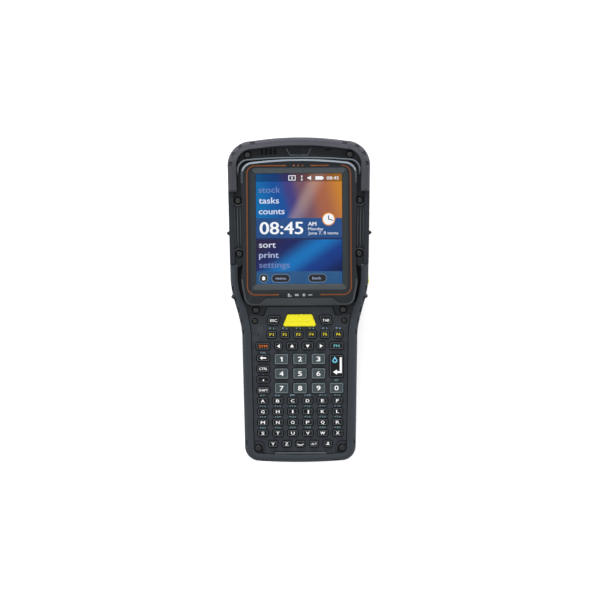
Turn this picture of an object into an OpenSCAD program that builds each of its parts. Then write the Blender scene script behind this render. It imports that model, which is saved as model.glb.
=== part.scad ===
/* [Head] */
// Width of the head over the rubber, near its top
head_w = 98; // [95:0.5:106]
// Depth of the head, from the hump to the rim round the display
head_depth = 44; // [42.5:0.5:48]
// Radius of the two upper corners
top_corner_r = 15; // [10:0.5:18]
// Rise of the upper edge at its middle
top_bow = 1.4; // [0.4:0.1:2.5]
// Length over which the head narrows to the grip
neck_len = 40; // [30:1:48]
// Narrowing of each side per millimetre of length, from head to foot
side_taper = 0.02; // [0:0.005:0.03]

/* [Grip] */
// Width of the grip over the rubber, at its middle
grip_w = 78; // [76:0.5:84]
// Depth of the grip over the rubber
grip_depth = 31; // [29.5:0.5:32]
// How far the hump behind the head stands out past the back of the grip
hump_depth = 9; // [7:0.5:11]
// Radius of the two lower corners
end_corner_r = 10; // [6:0.5:12]
// Rise of the lower edge at its middle
end_bow = 1; // [0.4:0.1:2]

/* [Case] */
// Wall of the two housings
wall = 2.2; // [1.6:0.1:2.6]
// Height of the frame between the two halves
frame_h = 10.5; // [10:0.1:11.5]
// Thickness of the frame's webs, which carry the display and the keypad board
web_t = 1.5; // [1:0.1:2]
// Thickness of the two circuit boards
board_t = 1.6; // [1:0.1:1.8]
// Half the width of the hump
hump_half = 34; // [31:0.5:38]
// From the chin up to the lower edge of the hump
hump_start = 26; // [22:0.5:32]
// Radius of the hump's lower corners
hump_r = 5; // [2:0.5:8]

/* [Rubber boots] */
// Thickness of the rubber round the sides
boot_t = 3; // [2:0.1:3.4]
// Width of the rubber lip over the front, at the sides
lip_side = 6.1; // [5:0.1:6.6]
// Width of the rubber lip over the front, at both ends
lip_end = 4.6; // [3.8:0.1:6]
// Height from the back of the grip to the back edge of the boots
boot_back_h = 3; // [1:0.5:4]
// Drop from the rim to the front of the upper boot
boot_drop = 1.4; // [0.6:0.1:3]
// From the chin up to the lower end of the bare flank
flank_start = 29; // [26:0.5:34]
// Length of the bare flank between the boots
flank_len = 49.8; // [40:0.2:56]
// Width of the ledge on the bare flank
flank_w = 3.5; // [2.5:0.1:4]
// How far each side nub stands out
nub_proud = 1.7; // [0.8:0.1:2.5]
// Spacing of the grip grooves round the neck
groove_pitch = 7.6; // [6:0.1:9]
// Length of one grip groove
groove_len = 4.2; // [2:0.1:5]
// Height of the grip grooves
groove_h = 14; // [8:0.5:16]
// Depth of the grip grooves and of the corner notches
groove_depth = 1.2; // [0.4:0.1:1.6]

/* [Display] */
// Width of the lit area
lcd_w = 59; // [54:0.5:62]
// Height of the lit area
lcd_h = 75.7; // [70:0.1:80]
// From the top edge of the rubber to the lit area
lcd_drop = 23.5; // [23:0.5:27]
// Width of the sloping surround of the lit area
surround = 4; // [2:0.1:4.4]
// From the lit area down to the edge of the chin
chin_drop = 15.4; // [14:0.1:18]
// From the edge of the rubber lip to the recess in the chin that takes the keypad tab
chin_margin = 10.1; // [9:0.1:12]
// Height of the keypad tab
chin_step = 6.2; // [5.4:0.1:7]
// How far the tab's ends slant
chin_slant = 2.4; // [1:0.1:3]
// Length of the chin's slope
chin_slope = 5; // [3:0.1:7]
// Gap between the raised platform and the rubber lip
platform_gap = 3.2; // [2:0.1:4]
// From the top edge of the rubber to the raised platform
platform_drop = 12.9; // [12:0.1:15]
// Thickness of the touch panel
panel_t = 1.1; // [0.7:0.1:1.4]
// Thickness of the gasket round the touch panel
gasket_t = 0.3; // [0.2:0.1:0.5]
// How far the touch panel's pocket reaches past the lit area
panel_margin = 3; // [2:0.1:3.4]
// Thickness of the platform over the touch panel
bezel_lip_t = 2.4; // [1.6:0.1:3]
// Depth of the sloping surround
surround_d = 1.2; // [0.6:0.1:1.5]
// Height of the rim round the top of the platform
rim_h = 0.6; // [0.3:0.1:1]
// Width of that rim
rim_w = 2; // [1:0.1:3]
// Depth of the pan round the platform, below the front of the rim
pan_depth = 5; // [4:0.1:5.2]

/* [Pan] */
// From the top edge of the rubber to the speaker slots and the sensor window
slot_drop = 8.2; // [8:0.1:9]
// How far left of the middle the speaker slots are
speaker_left = 20.8; // [18:0.1:24]
// Spacing of the speaker slots
slot_pitch = 3; // [2.4:0.1:3.2]
// Length of a speaker slot
slot_len = 4.2; // [3:0.1:4.6]
// Width of a speaker slot
slot_w = 1; // [0.6:0.1:1.4]
// Width of the sensor window at its top
sensor_w = 17.2; // [12:0.2:20]
// Thickness of the speaker
speaker_t = 1.6; // [1:0.1:1.9]
// Length and width of the speaker
speaker_size = [12.6, 4.4];

/* [Keypad rows] */
// From the chin to the middle of the scan key
scan_drop = 9.8; // [9:0.1:12]
// From the scan key to the function keys
function_drop = 9.6; // [9.2:0.1:12]
// From the function keys to the arrow keys
arrow_drop = 8; // [7.6:0.1:10]
// From the arrow keys to the first digits
digit_drop = 9; // [8.6:0.1:11]
// Spacing of the digit rows
digit_row_pitch = 10; // [9.6:0.1:11]
// From the last digits to the first letters
letter_drop = 8.7; // [8.4:0.1:10]
// Spacing of the letter rows and of the command keys
row_pitch = 7.4; // [7.2:0.1:8.2]
// From the last row to the lower edge of the rubber
end_margin = 12.7; // [12:0.1:16]
// From the edge of the keypad plate to the middle of the outer letters
outer_margin = 7.2; // [6:0.1:8]
// How far the outer digits stand inside the place halfway to the outer letters, twice
digit_inset = 0.3; // [0:0.1:1]
// Space between two digit keys of a row
digit_space = 2.9; // [2:0.1:4]
// Space between two letter keys of a row
letter_space = 2.88; // [2:0.02:4]
// How far the first function key stands in from the first letter
function_left = 6.3; // [0:0.1:8]
// How far the last function key stands out from the last letter
function_right = 0.9; // [0:0.1:1.2]
// Space between two function keys
function_space = 2.8; // [2:0.1:4]
// Space between a side arrow key and the wide key beside it
side_arrow_space = 3; // [2:0.1:4]
// Space between a side arrow key and the arrow key beside it
mid_arrow_space = 2.5; // [2:0.1:3]
// Space between the up and the down key
middle_space = 3; // [2:0.1:4]
// Spacing of the keys in the last row
last_pitch = 9.4; // [8.8:0.1:10.5]

/* [Keys] */
// Height of a digit key where it passes the plate
digit_tall = 7.6; // [6:0.1:7.8]
// Width and height of a command key
command_size = [9, 4.9];
// Width and height of the two keys at the ends of the arrow row
wide_size = [9.8, 5.4];
// Height of a function key
function_tall = 5.6; // [5:0.1:5.8]
// Width and height of the left and right arrow keys
side_arrow_size = [5.6, 5.4];
// Height of the up and down arrow keys
mid_arrow_tall = 5.4; // [4.6:0.1:5.6]
// Height of a letter key
letter_tall = 4.7; // [4:0.1:5]
// Width and height of a key in the last row
last_size = [6.4, 4.7];
// How far the corners of the scan key lean out and in from the middle of its sides
scan_lean = 1.6; // [0.4:0.1:2]
// Height of the scan key
scan_tall = 8.4; // [7:0.1:8.8]
// Space between the scan key and the slanted key at either side
slant_space = 4; // [3:0.1:5]
// From the middle of a slanted key to the screw beside the keypad tab
slant_out = 12.6; // [11:0.1:14]
// Width of the slanted keys beside the scan key
slant_w = 8; // [6:0.1:9]
// Height of the slanted keys
slant_tall = 7; // [6:0.1:8]
// Corner radius of a key
key_r = 1.2; // [0.8:0.1:1.6]
// Travel of a key
key_travel = 1; // [0.6:0.1:1.2]
// How far a key stands above the keypad plate
key_proud = 1.3; // [0.8:0.1:2]
// How much further the scan key stands out
scan_extra = 0.3; // [0:0.1:0.8]
// Gap round a key in its hole
key_gap = 0.3; // [0.2:0.05:0.4]
// Width of the flange that keeps a key under the plate
key_flange = 0.5; // [0.3:0.05:0.6]
// Width of the step round the top of a key
cap_step = 0.4; // [0.2:0.05:0.7]
// Thickness of the keypad plate
plate_t = 2; // [1.6:0.1:2.4]
// Depth of the keypad plate below the front of the rubber lip
plate_drop = 1.5; // [0.5:0.1:2]
// Depth of the keypad board under the plate
board_drop = 5; // [4.6:0.1:5.6]
// Height of a dome switch
dome_h = 0.4; // [0.2:0.1:0.6]
// Radius of a dome switch
dome_r = 1.8; // [1.2:0.1:2]
// From the middle of the scan key to each of its two dome switches
scan_dome_x = 5; // [3:0.1:8]
// From the last column of wide keys out to the microphone
microphone_out = 3.1; // [2:0.1:4]

/* [Main board] */
// How far the main board reaches down past the chin
board_end = 8; // [4:0.5:12]
// Gap between the main board and the scanner pod
board_pod_gap = 4; // [2:0.5:8]
// Width, length and height of the shield behind the display
shield_size = [40, 30, 3];
// Distance of the shield's middle below the middle of the display
shield_drop = 5; // [0:0.5:10]
// Width, length and height of the radio module
radio_size = [18, 14, 2.2];
// From the middle line to the radio module
radio_in = 6; // [2:0.5:10]
// From the middle of the display up to the radio module
radio_up = 16; // [14:0.5:20]
// Distances of the board's posts from the middle line: upper and middle pair, and lower pair
post_x = [30, 28];
// Distances of the upper and middle pair above the two ends of the bare flank
post_up = [16, 5];
// Width and length of the slot for the display's cable
display_cable = [24, 3];
// Width and length of the slot for the keypad's cable
keypad_cable = [20, 3];
// From the middle of the keypad down to its cable
keypad_cable_drop = 17; // [10:0.5:24]

/* [Scanner] */
// Width of the scanner pod
pod_w = 60; // [52:1:64]
// Length of the scanner pod
pod_len = 16; // [14:0.5:18]
// How far the pod stands out past the rubber
pod_proud = 2; // [1:0.1:3]
// Height of the pod's underside above the hump's
pod_back = 1; // [0.5:0.1:2]
// Height of the scan window
window_h = 15; // [10:0.5:17]
// Width of the scan window
window_w = 44; // [34:1:48]
// Thickness of the scan window
window_t = 1.5; // [1:0.1:2]
// Width of the ledge that the window sits on
window_ledge = 2; // [1:0.1:3]
// Width, length and height of the scan engine
engine_size = [34, 17, 13];
// Radius of the scan engine's lenses
lens_r = 4; // [2:0.1:5]

/* [Battery] */
// Width of the battery pack
battery_w = 62; // [52:1:63]
// Thickness of the battery pack
battery_t = 12; // [10:0.5:12.5]
// From the chin down to the pack's free end
battery_drop = 17; // [14:0.5:22]
// From the pack's hooked end to the lower edge of the rubber
battery_end = 22; // [20:0.5:28]
// Margin round the label field on the pack
label_margin = 7; // [4:0.5:10]
// Room that the pack's free end needs to swing past the housing
swing_gap = 1.5; // [1.2:0.1:2]
// Radius of the bead that the pack turns on
bead_r = 1.4; // [1.1:0.05:1.5]
// Length of each bead
bead_len = 10; // [6:0.5:14]
// Travel of the battery latch
latch_travel = 3; // [2:0.5:4]
// Length of the battery latch
latch_len = 11; // [8:0.5:14]
// Half the width of the battery latch
latch_half = 9; // [7:0.5:12]
// Thickness of the latch's slide
latch_t = 1.4; // [1:0.1:1.8]
// Thickness of the lip that holds the latch in
latch_lip = 2.3; // [1.8:0.1:2.8]

/* [Side buttons] */
// Travel of a side scan button
button_travel = 0.8; // [0.4:0.1:1]
// Length of a side scan button
button_l = 14; // [10:0.5:15]
// Height of a side scan button
button_h = 6.4; // [5:0.1:7]
// How far a side scan button stands out
button_proud = 0.8; // [0.4:0.1:1.2]
// From the bare flank down to the middle of a side scan button
button_drop = 8; // [7.8:0.1:11]

/* [Fasteners and mounts] */
// Spacing across of the four accessory inserts
insert_x = 40; // [30:1:46]
// Spacing along of the four accessory inserts
insert_y = 30; // [20:1:36]
// Core radius of the accessory inserts
insert_r = 1.25; // [1:0.05:1.5]
// Length of the accessory inserts
insert_len = 4.8; // [3:0.1:5]
// Radius of a screw head
screw_head_r = 2; // [1.6:0.1:2.2]
// Radius of a screw shank
screw_r = 1.1; // [0.8:0.05:1.2]
// Length of a front screw below its head
screw_len = 6; // [4:0.5:7]
// Depth of the well round a front screw
well_d = 1.2; // [0.8:0.1:1.4]
// Clear width of the slot for a hand strap
strap_w = 28; // [20:1:30]
// Clear height of the slot for a hand strap
strap_h = 5.5; // [4.5:0.1:5.8]
// Length of the strap foot
foot_len = 10; // [6:0.5:12]
// Half the width of the dock connector
dock_half = 13; // [10:0.5:14]
// Length of the dock connector
dock_len = 12.4; // [8:0.1:14]
// Height of the dock connector
dock_h = 7; // [5:0.1:8]

/* [Hidden] */
$fn = 48;
gap = 0.3;
fit = 0.05;
over = 0.1;
far = 2 * head_w + 2 * grip_w;
lip_gap = 0.25;

// Levels along Z, from the surface that the terminal lies on
grip_back = hump_depth;
grip_front = grip_back + grip_depth;
plate_top = grip_front - plate_drop;
mid_top = plate_top - plate_t;
rim_top = head_depth;
bezel_top = rim_top - rim_h;
lip_under = bezel_top - bezel_lip_t;
panel_top = lip_under - gasket_t;
pan_top = rim_top - pan_depth;
boot_front = rim_top - boot_drop;
boot_back = grip_back + boot_back_h;
parting = mid_top - frame_h;
head_web = mid_top - web_t;
board_seat = mid_top - board_drop;
grip_web = board_seat - web_t;
board_top = board_seat + board_t;
key_bottom = board_top + dome_h + key_travel + over;
battery_top = grip_back + battery_t;
bay_top = battery_top + gap;

// Places along Y: the chin first, then up over the head and down over the keypad
head_len = lcd_drop + lcd_h + chin_drop;
keypad_len = scan_drop + function_drop + arrow_drop + digit_drop + 2 * digit_row_pitch + letter_drop
    + 4 * row_pitch + end_margin;
y_end = -(pod_proud + head_len + keypad_len) / 2;
chin_y = y_end + keypad_len;
y_top = chin_y + head_len;
lcd_top = y_top - lcd_drop;
lcd_y = lcd_top - lcd_h / 2;
wing_y = chin_y - chin_step;
neck_y = chin_y - 0.6;
flank_lo = chin_y + flank_start;
flank_hi = flank_lo + flank_len;
pod_lo = y_top + pod_proud - pod_len;
pod_hi = y_top + pod_proud;
hump_lo = chin_y + hump_start;
battery_hi = chin_y - battery_drop;
battery_lo = y_end + battery_end;
bay_hi = battery_hi + swing_gap;
bead_neck = 0.8;
bead_y = battery_lo - bead_r - bead_neck;
bead_z = grip_back + bead_r + 0.2;

// Outline of the whole body seen from the front
head_ref = y_top - top_corner_r - 5;
grip_ref = (chin_y + y_end) / 2;
function ramp(t) = t * t * (3 - 2 * t);
function blend(y) = ramp(max(0, min(1, (y - neck_y) / neck_len + 0.5)));
function half_w(y) = (1 - blend(y)) * (grip_w / 2 + side_taper * (y - grip_ref))
    + blend(y) * (head_w / 2 + side_taper * (y - head_ref));
function bow_point(x, y, bow, t) = [x * t, y + bow * t * t];
function on_arc(centre, r, a) = centre + r * [cos(a), sin(a)];
side_lo = y_end + end_bow + end_corner_r;
side_hi = y_top - top_bow - top_corner_r;
end_corner = [half_w(side_lo) - end_corner_r, side_lo];
top_corner = [half_w(side_hi) - top_corner_r, side_hi];
side_steps = 26;
arc_steps = 6;
bow_steps = 4;
right_half = concat(
    [for (i = [0:bow_steps - 1]) bow_point(end_corner[0], y_end, end_bow, i / bow_steps)],
    [for (i = [0:arc_steps - 1]) on_arc(end_corner, end_corner_r, -90 + 90 * i / arc_steps)],
    [for (i = [0:side_steps]) let (y = side_lo + (side_hi - side_lo) * i / side_steps) [half_w(y), y]],
    [for (i = [1:arc_steps]) on_arc(top_corner, top_corner_r, 90 * i / arc_steps)],
    [for (i = [bow_steps - 1:-1:0]) bow_point(top_corner[0], y_top, -top_bow, i / bow_steps)]
);
left_half = [for (i = [len(right_half) - 2:-1:1]) [-right_half[i][0], right_half[i][1]]];

module outline2d() {
    polygon(concat(right_half, left_half));
}

module inset2d(d) {
    offset(delta = -d) outline2d();
}

module band2d(y0, y1) {
    translate([-far / 2, y0]) square([far, y1 - y0]);
}

// Rectangle with round corners
module rrect(w, h, r) {
    square([w, h - 2 * r], center = true);
    square([w - 2 * r, h], center = true);
    for (x = [-1, 1], y = [-1, 1]) translate([x * (w / 2 - r), y * (h / 2 - r)]) circle(r = r);
}

module slab(z0, z1) {
    translate([0, 0, z0]) linear_extrude(z1 - z0) children();
}

// Box from its lowest to its highest corner, and one that is centred across
module block(lo, hi) {
    translate(lo) cube(hi - lo);
}

module wide_block(half, y, z) {
    block([-half, y[0], z[0]], [half, y[1], z[1]]);
}

module both_sides() {
    children();
    mirror([1, 0, 0]) children();
}

// What the two housings fill: inside the boots, and out to the bare flank
module core2d() {
    inset2d(boot_t);
    intersection() {
        outline2d();
        band2d(flank_lo, flank_hi);
    }
}

module inner2d(c) {
    offset(delta = -wall - c) core2d();
}

// Opening between the rubber lips, with a clearance c
module lip2d(c) {
    for (s = [-1, 1]) translate([0, s * (lip_side - lip_end)]) inset2d(lip_side + c);
}

chin_half = grip_w / 2 - lip_side - chin_margin;

// Edge of the chin, moved down and in by a clearance c, from left to right
function chin_edge(c) = [
    [-far, wing_y - c],
    [c - chin_half - chin_slant, wing_y - c],
    [c - chin_half, chin_y - c],
    [chin_half - c, chin_y - c],
    [chin_half + chin_slant - c, wing_y - c],
    [far, wing_y - c]
];

module above_chin2d() {
    polygon(concat(chin_edge(0), [[far, far], [-far, far]]));
}

module below_chin2d(c) {
    polygon(concat(chin_edge(c), [[far, -far], [-far, -far]]));
}

// Screws: where they stand, their wells and holes
boss_r = 2.6;
rear_boss_r = 3.2;
well_r = screw_head_r + 0.6;
socket_r = 0.9;
socket_d = 0.7;
corner_screw = [top_corner[0] + 1.2, y_top - 10.3];
side_screw_in = 6.7;
side_screw_hi = [half_w(flank_hi - 6) - side_screw_in, flank_hi - 6];
side_screw_lo = [half_w(flank_lo + 7.2) - side_screw_in, flank_lo + 7.2];
chin_screw = [chin_half + chin_slant + 4.8, wing_y + 3.8];
tab_screw = [chin_screw[0] + 0.7, wing_y - 3.9];
end_screw = [grip_w / 2 - lip_side - 3.9, y_end + lip_end + 5.2];
bezel_screws = [corner_screw, side_screw_hi, side_screw_lo, chin_screw];
plate_screws = [tab_screw, end_screw];
all_screws = concat(bezel_screws, plate_screws);
rear_hi = [head_w / 2 - 9, flank_hi + 12];
rear_lo = [head_w / 2 - 9, flank_lo + 3];
rear_end = [25, y_end + 9];
rear_screws_at = [rear_hi, rear_lo, rear_end];
rear_head_h = 1.7;
rear_grip = 3;

module at_each(points, z) {
    for (p = points) both_sides() translate([p[0], p[1], z]) children();
}

module screw_wells(points, top) {
    at_each(points, top - well_d) cylinder(r = well_r, h = rim_top);
    at_each(points, mid_top - over) cylinder(r = screw_r + 2 * fit, h = top - mid_top);
}

module screws(points, top) {
    at_each(points, top - well_d) difference() {
        union() {
            cylinder(r = screw_head_r, h = well_d);
            translate([0, 0, -screw_len]) cylinder(r = screw_r, h = screw_len + over);
        }
        translate([0, 0, well_d - socket_d]) cylinder(r = socket_r, h = 1, $fn = 6);
    }
}

// Places of the keys
scan_y = chin_y - scan_drop;
function_y = scan_y - function_drop;
arrow_y = function_y - arrow_drop;
digit_y = arrow_y - digit_drop;
command_y = digit_y + 0.9;
letter_y = digit_y - 2 * digit_row_pitch - letter_drop;
outer_x = grip_w / 2 - lip_side - outer_margin;
wide_x = outer_x - 0.4;
right_x = outer_x - 0.6;
letter_pitch = 2 * outer_x / 5;
letter_size = [letter_pitch - letter_space, letter_tall];
digit_pitch = (outer_x - digit_inset) / 2;
digit_size = [digit_pitch - digit_space, digit_tall];
function_pitch = (2 * outer_x - function_left + function_right) / 5;
function_size = [function_pitch - function_space, function_tall];
side_arrow_x = wide_x - wide_size[0] / 2 - side_arrow_space - side_arrow_size[0] / 2;
mid_arrow_lo = middle_space / 2;
mid_arrow_hi = side_arrow_x - side_arrow_size[0] / 2 - mid_arrow_space;
mid_arrow_x = (mid_arrow_lo + mid_arrow_hi) / 2;
mid_arrow_size = [mid_arrow_hi - mid_arrow_lo, mid_arrow_tall];

function digit_at(n) = [((n - 1) % 3 - 1) * digit_pitch, digit_y - floor((n - 1) / 3) * digit_row_pitch];
function function_at(n) = [function_left - outer_x + (n - 1) * function_pitch, function_y];
function command_at(n) = [0.5 - outer_x, command_y - n * row_pitch];
function letter_at(row, column) = [(column - 2.5) * letter_pitch, letter_y - row * row_pitch];
function last_at(column) = [(column - 2) * last_pitch, letter_y - 4 * row_pitch];
zero_at = [right_x, digit_at(9)[1]];
enter_at = [right_x, (digit_at(3)[1] + digit_at(6)[1]) / 2];
enter_size = [digit_size[0], digit_row_pitch + 5.8];
sym_at = [-wide_x, arrow_y];
fn_at = [wide_x, arrow_y];
left_at = [-side_arrow_x, arrow_y];
right_at = [side_arrow_x, arrow_y];
up_at = [-mid_arrow_x, arrow_y];
down_at = [mid_arrow_x, arrow_y];

// The scan key and the slanted key at its left, seen from the front, grown by c
slant_x = tab_screw[0] - slant_out;
slant_lean = 1.2;
scan_half = slant_x - slant_w / 2 - slant_space;
scan_low = scan_half + scan_lean;
scan_high = scan_half - scan_lean;

module soft2d(c) {
    offset(delta = c) offset(r = 1, $fn = 24) offset(delta = -1) children();
}

module scan2d(c) {
    low = scan_y - scan_tall / 2;
    high = scan_y + scan_tall / 2;
    soft2d(c) polygon([[-scan_low, low], [scan_low, low], [scan_high, high], [-scan_high, high]]);
}

module slant2d(c) {
    low = scan_y - slant_tall / 2;
    high = scan_y + slant_tall / 2;
    left = -slant_x - slant_w / 2;
    right = -slant_x + slant_w / 2;
    soft2d(c) polygon([[left - slant_lean / 2, low + 0.8], [right - slant_lean, low],
        [right + slant_lean, high], [left + slant_lean / 2, high]]);
}

// Outline of any other key, or of its hole, grown by c
module key2d(at, size, c) {
    translate(at) rrect(size[0] + 2 * c, size[1] + 2 * c, key_r + c);
}

// Every key has the same three steps: flange, body in its hole, and cap
module flange_slab() {
    slab(key_bottom, mid_top - gap) children();
}

module body_slab() {
    slab(key_bottom, plate_top - 0.2) children();
}

module cap_slab(proud) {
    slab(plate_top - gap, plate_top + proud) children();
}

module key(at, size) {
    flange_slab() key2d(at, size, key_flange);
    body_slab() key2d(at, size, 0);
    cap_slab(key_proud) key2d(at, size, -cap_step);
}

module all_key_holes() {
    scan2d(key_gap);
    both_sides() slant2d(key_gap);
    for (n = [1:6]) key2d(function_at(n), function_size, key_gap);
    for (at = [sym_at, fn_at]) key2d(at, wide_size, key_gap);
    for (at = [left_at, right_at]) key2d(at, side_arrow_size, key_gap);
    for (at = [up_at, down_at]) key2d(at, mid_arrow_size, key_gap);
    for (n = [0:3]) key2d(command_at(n), command_size, key_gap);
    for (n = [1:9]) key2d(digit_at(n), digit_size, key_gap);
    key2d(zero_at, digit_size, key_gap);
    key2d(enter_at, enter_size, key_gap);
    for (row = [0:3], column = [0:5]) key2d(letter_at(row, column), letter_size, key_gap);
    for (column = [0:4]) key2d(last_at(column), last_size, key_gap);
}

// Places inside and behind the case
insert_mid = (hump_lo + pod_lo) / 2 - 4;
insert_wall = 1;
insert_boss_r = insert_r + insert_wall + 1.35;
board_z = parting - 2.4;
board_post_r = 2.6;
board_posts = [[post_x[0], flank_hi + post_up[0]], [post_x[0], flank_lo + post_up[1]],
    [post_x[1], chin_y + board_end]];
contact_half = 8;
contact_l = 4;
contact_y = battery_hi - 8;
latch_lo = bay_hi + 3;
latch_hi = latch_lo + latch_len;
latch_wing = 2;
latch_slide_z = grip_back + latch_lip + gap;
tongue_half = 6;
bead_x = battery_w / 2 - bead_len - 4;
dock_z = grip_back + 4.5;
dock_face = y_end + 1.6;
dock_hi = dock_face + dock_len;
pod_half = pod_w / 2;
pod_front = parting - 0.2;
pod_chamfer = 2.4;
window_z = (pod_back + pod_front) / 2;
window_back = pod_hi - 1 - window_t;
engine_z = pod_back + wall;
engine_half = engine_size[0] / 2;
engine_y = [pod_lo - 9, pod_lo - 9 + engine_size[1]];

// Rear half of the case, with its hump and battery bay
module bay2d() {
    half = battery_w / 2 + gap;
    translate([-half, battery_lo - 1]) square([2 * half, bay_hi - battery_lo + 1]);
}

module hump2d() {
    translate([0, (hump_lo + pod_lo) / 2]) rrect(2 * hump_half, pod_lo - hump_lo, hump_r);
}

module latch_pocket() {
    y = [latch_lo - gap, latch_hi + latch_travel + gap];
    z = [grip_back + latch_lip, latch_slide_z + latch_t + gap];
    wide_block(latch_half + gap, y, [grip_back - over, z[0] + over]);
    wide_block(latch_half + latch_wing + gap, y, z);
    wide_block(tongue_half + gap, [battery_hi, latch_lo], z);
}

// Socket that a bead of the battery turns in, open to the back and towards the pack
module bead_socket() {
    r = bead_r + gap;
    x = [bead_x - gap, bead_x + bead_len + gap];
    translate([x[0], bead_y, bead_z]) rotate([0, 90, 0]) cylinder(r = r, h = x[1] - x[0]);
    block([x[0], bead_y - r, grip_back - over], [x[1], battery_lo, bead_z]);
    block([x[0], bead_y, grip_back - over], [x[1], battery_lo, bead_z + r]);
}

module at_inserts() {
    for (x = [-insert_x / 2, insert_x / 2], y = [-insert_y / 2, insert_y / 2])
        translate([x, insert_mid + y, 0]) children();
}

module rear_shell() {
    difference() {
        union() {
            slab(grip_back, parting) core2d();
            slab(0, grip_back + over) hump2d();
        }
        slab(grip_back + wall, parting + over) intersection() {
            inner2d(0);
            band2d(bay_hi + wall, far);
        }
        slab(bay_top + wall, parting + over) intersection() {
            inner2d(0);
            band2d(dock_hi + 4, bay_hi + wall + over);
        }
        slab(wall, grip_back + 2 * wall) offset(delta = -wall) hump2d();
        slab(grip_back - over, bay_top) bay2d();
    }
}

module rear_housing() {
    color("#3b3f44") difference() {
        union() {
            rear_shell();
            at_each(rear_screws_at, grip_back) cylinder(r = rear_boss_r, h = parting - grip_back);
            at_inserts() cylinder(r = insert_boss_r, h = insert_len + 1.2);
            at_each(board_posts, grip_back) cylinder(r = board_post_r, h = board_z - grip_back);
            // Block round the latch, and pad under the scan engine
            wide_block(latch_half + 5, [bay_hi, latch_hi + latch_travel + 4],
                [grip_back, latch_slide_z + latch_t + wall]);
            wide_block(engine_half, [engine_y[0], pod_lo], [0, engine_z]);
        }
        // Open end for the scanner pod
        wide_block(pod_half, [pod_lo, far], [-over, parting + 1]);
        wide_block(pod_half - wall, [engine_y[0] - 1, pod_lo + 1], [engine_z, parting + 1]);
        at_inserts() translate([0, 0, -over])
            cylinder(r = insert_r + insert_wall + fit, h = insert_len + 2 * over);
        // Screws from behind
        at_each(rear_screws_at, grip_back - over)
            cylinder(r = screw_head_r + 0.4, h = rear_head_h + gap + over);
        at_each(rear_screws_at, grip_back) cylinder(r = screw_r + 2 * fit, h = parting);
        latch_pocket();
        both_sides() bead_socket();
        // Seat of the dock connector, and the slot for the battery contacts
        wide_block(dock_half + fit, [y_end, dock_hi + fit], [dock_z - fit, dock_z + dock_h + fit]);
        wide_block(contact_half + fit, [contact_y - fit, contact_y + contact_l + fit],
            [battery_top, bay_top + wall + 1]);
        foot_pegs(fit);
    }
}

// Strap foot: two legs and the bar that a hand strap goes round
foot_mid = y_end + 10;
foot_half = foot_len / 2;
leg_w = 5;
foot_peg_r = 1.5;
foot_peg_h = 3;
foot_peg_x = strap_w / 2 + leg_w / 2;

module strap_foot() {
    y = [foot_mid - foot_half, foot_mid + foot_half];
    color("#33363a") {
        both_sides() block([strap_w / 2, y[0], 0], [strap_w / 2 + leg_w, y[1], grip_back]);
        wide_block(strap_w / 2 + 1, y, [0, grip_back - strap_h]);
        foot_pegs(0);
    }
}

// Pegs that hold the foot in the rear housing, or their holes with a clearance c
module foot_pegs(c) {
    both_sides() translate([foot_peg_x, foot_mid, grip_back - over])
        cylinder(r = foot_peg_r + c, h = foot_peg_h + over + c);
}

// Frame between the two halves: it carries the display, the keypad and the bare flanks
module flank_ledge2d() {
    intersection() {
        difference() {
            outline2d();
            inset2d(flank_w);
        }
        band2d(flank_lo, flank_hi);
    }
}

module frame_shell() {
    difference() {
        slab(parting, mid_top) core2d();
        slab(parting - over, head_web) intersection() {
            inner2d(0);
            band2d(wing_y - wall, far);
        }
        slab(parting - over, grip_web) intersection() {
            inner2d(0);
            band2d(-far, wing_y - 2 * wall);
        }
        slab(board_seat, mid_top + over) intersection() {
            inner2d(0);
            below_chin2d(wall);
        }
    }
}

module mid_frame() {
    color("#34393f") difference() {
        union() {
            frame_shell();
            slab(mid_top - over, grip_front) flank_ledge2d();
            at_each(all_screws, grip_web) cylinder(r = boss_r, h = mid_top - grip_web);
            at_each([rear_hi, rear_lo], parting) cylinder(r = rear_boss_r, h = head_web - parting + over);
            at_each([rear_end], parting) cylinder(r = rear_boss_r, h = grip_web - parting + over);
            both_sides() side_nub((flank_lo + flank_hi) / 2 - 3.3, parting);
        }
        at_each(all_screws, grip_web - over) cylinder(r = screw_r + fit, h = rim_top);
        at_each(rear_screws_at, parting - over) cylinder(r = screw_r + fit, h = rear_grip + 1);
        both_sides() button_hole();
        // Slots for the display cable and the keypad cable
        translate([-display_cable[0] / 2, lcd_top - 9, head_web - over])
            cube([display_cable[0], display_cable[1], web_t + over]);
        translate([-keypad_cable[0] / 2, grip_ref - keypad_cable_drop - keypad_cable[1], grip_web - over])
            cube([keypad_cable[0], keypad_cable[1], web_t + over]);
    }
}

module side_nub(y, z0) {
    root = half_w(y) - 0.5;
    tip = half_w(y) + nub_proud;
    slab(z0, grip_front) polygon([[root, y - 2.2], [tip, y - 0.5], [tip, y + 0.3], [root, y + 1.8]]);
}

// Bezel: a pan with the chin's wings, and a raised platform round the display
module platform2d() {
    offset(r = 5) offset(delta = -5) intersection() {
        inset2d(lip_side + platform_gap);
        translate([0, lip_side + platform_gap - platform_drop]) inset2d(lip_side + platform_gap);
        band2d(chin_y + 3, far);
    }
}

module pan2d() {
    intersection() {
        union() {
            lip2d(lip_gap);
            intersection() {
                inset2d(flank_w + lip_gap);
                band2d(flank_lo + lip_gap, flank_hi - lip_gap);
            }
        }
        above_chin2d();
    }
}

module lcd2d(c) {
    translate([0, lcd_y]) square([lcd_w + 2 * c, lcd_h + 2 * c], center = true);
}

slot_y = y_top - slot_drop;
surround_r = 2.5;

module speaker2d(c) {
    translate([-speaker_left, slot_y]) square(speaker_size + [2 * c, 2 * c], center = true);
}

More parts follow.
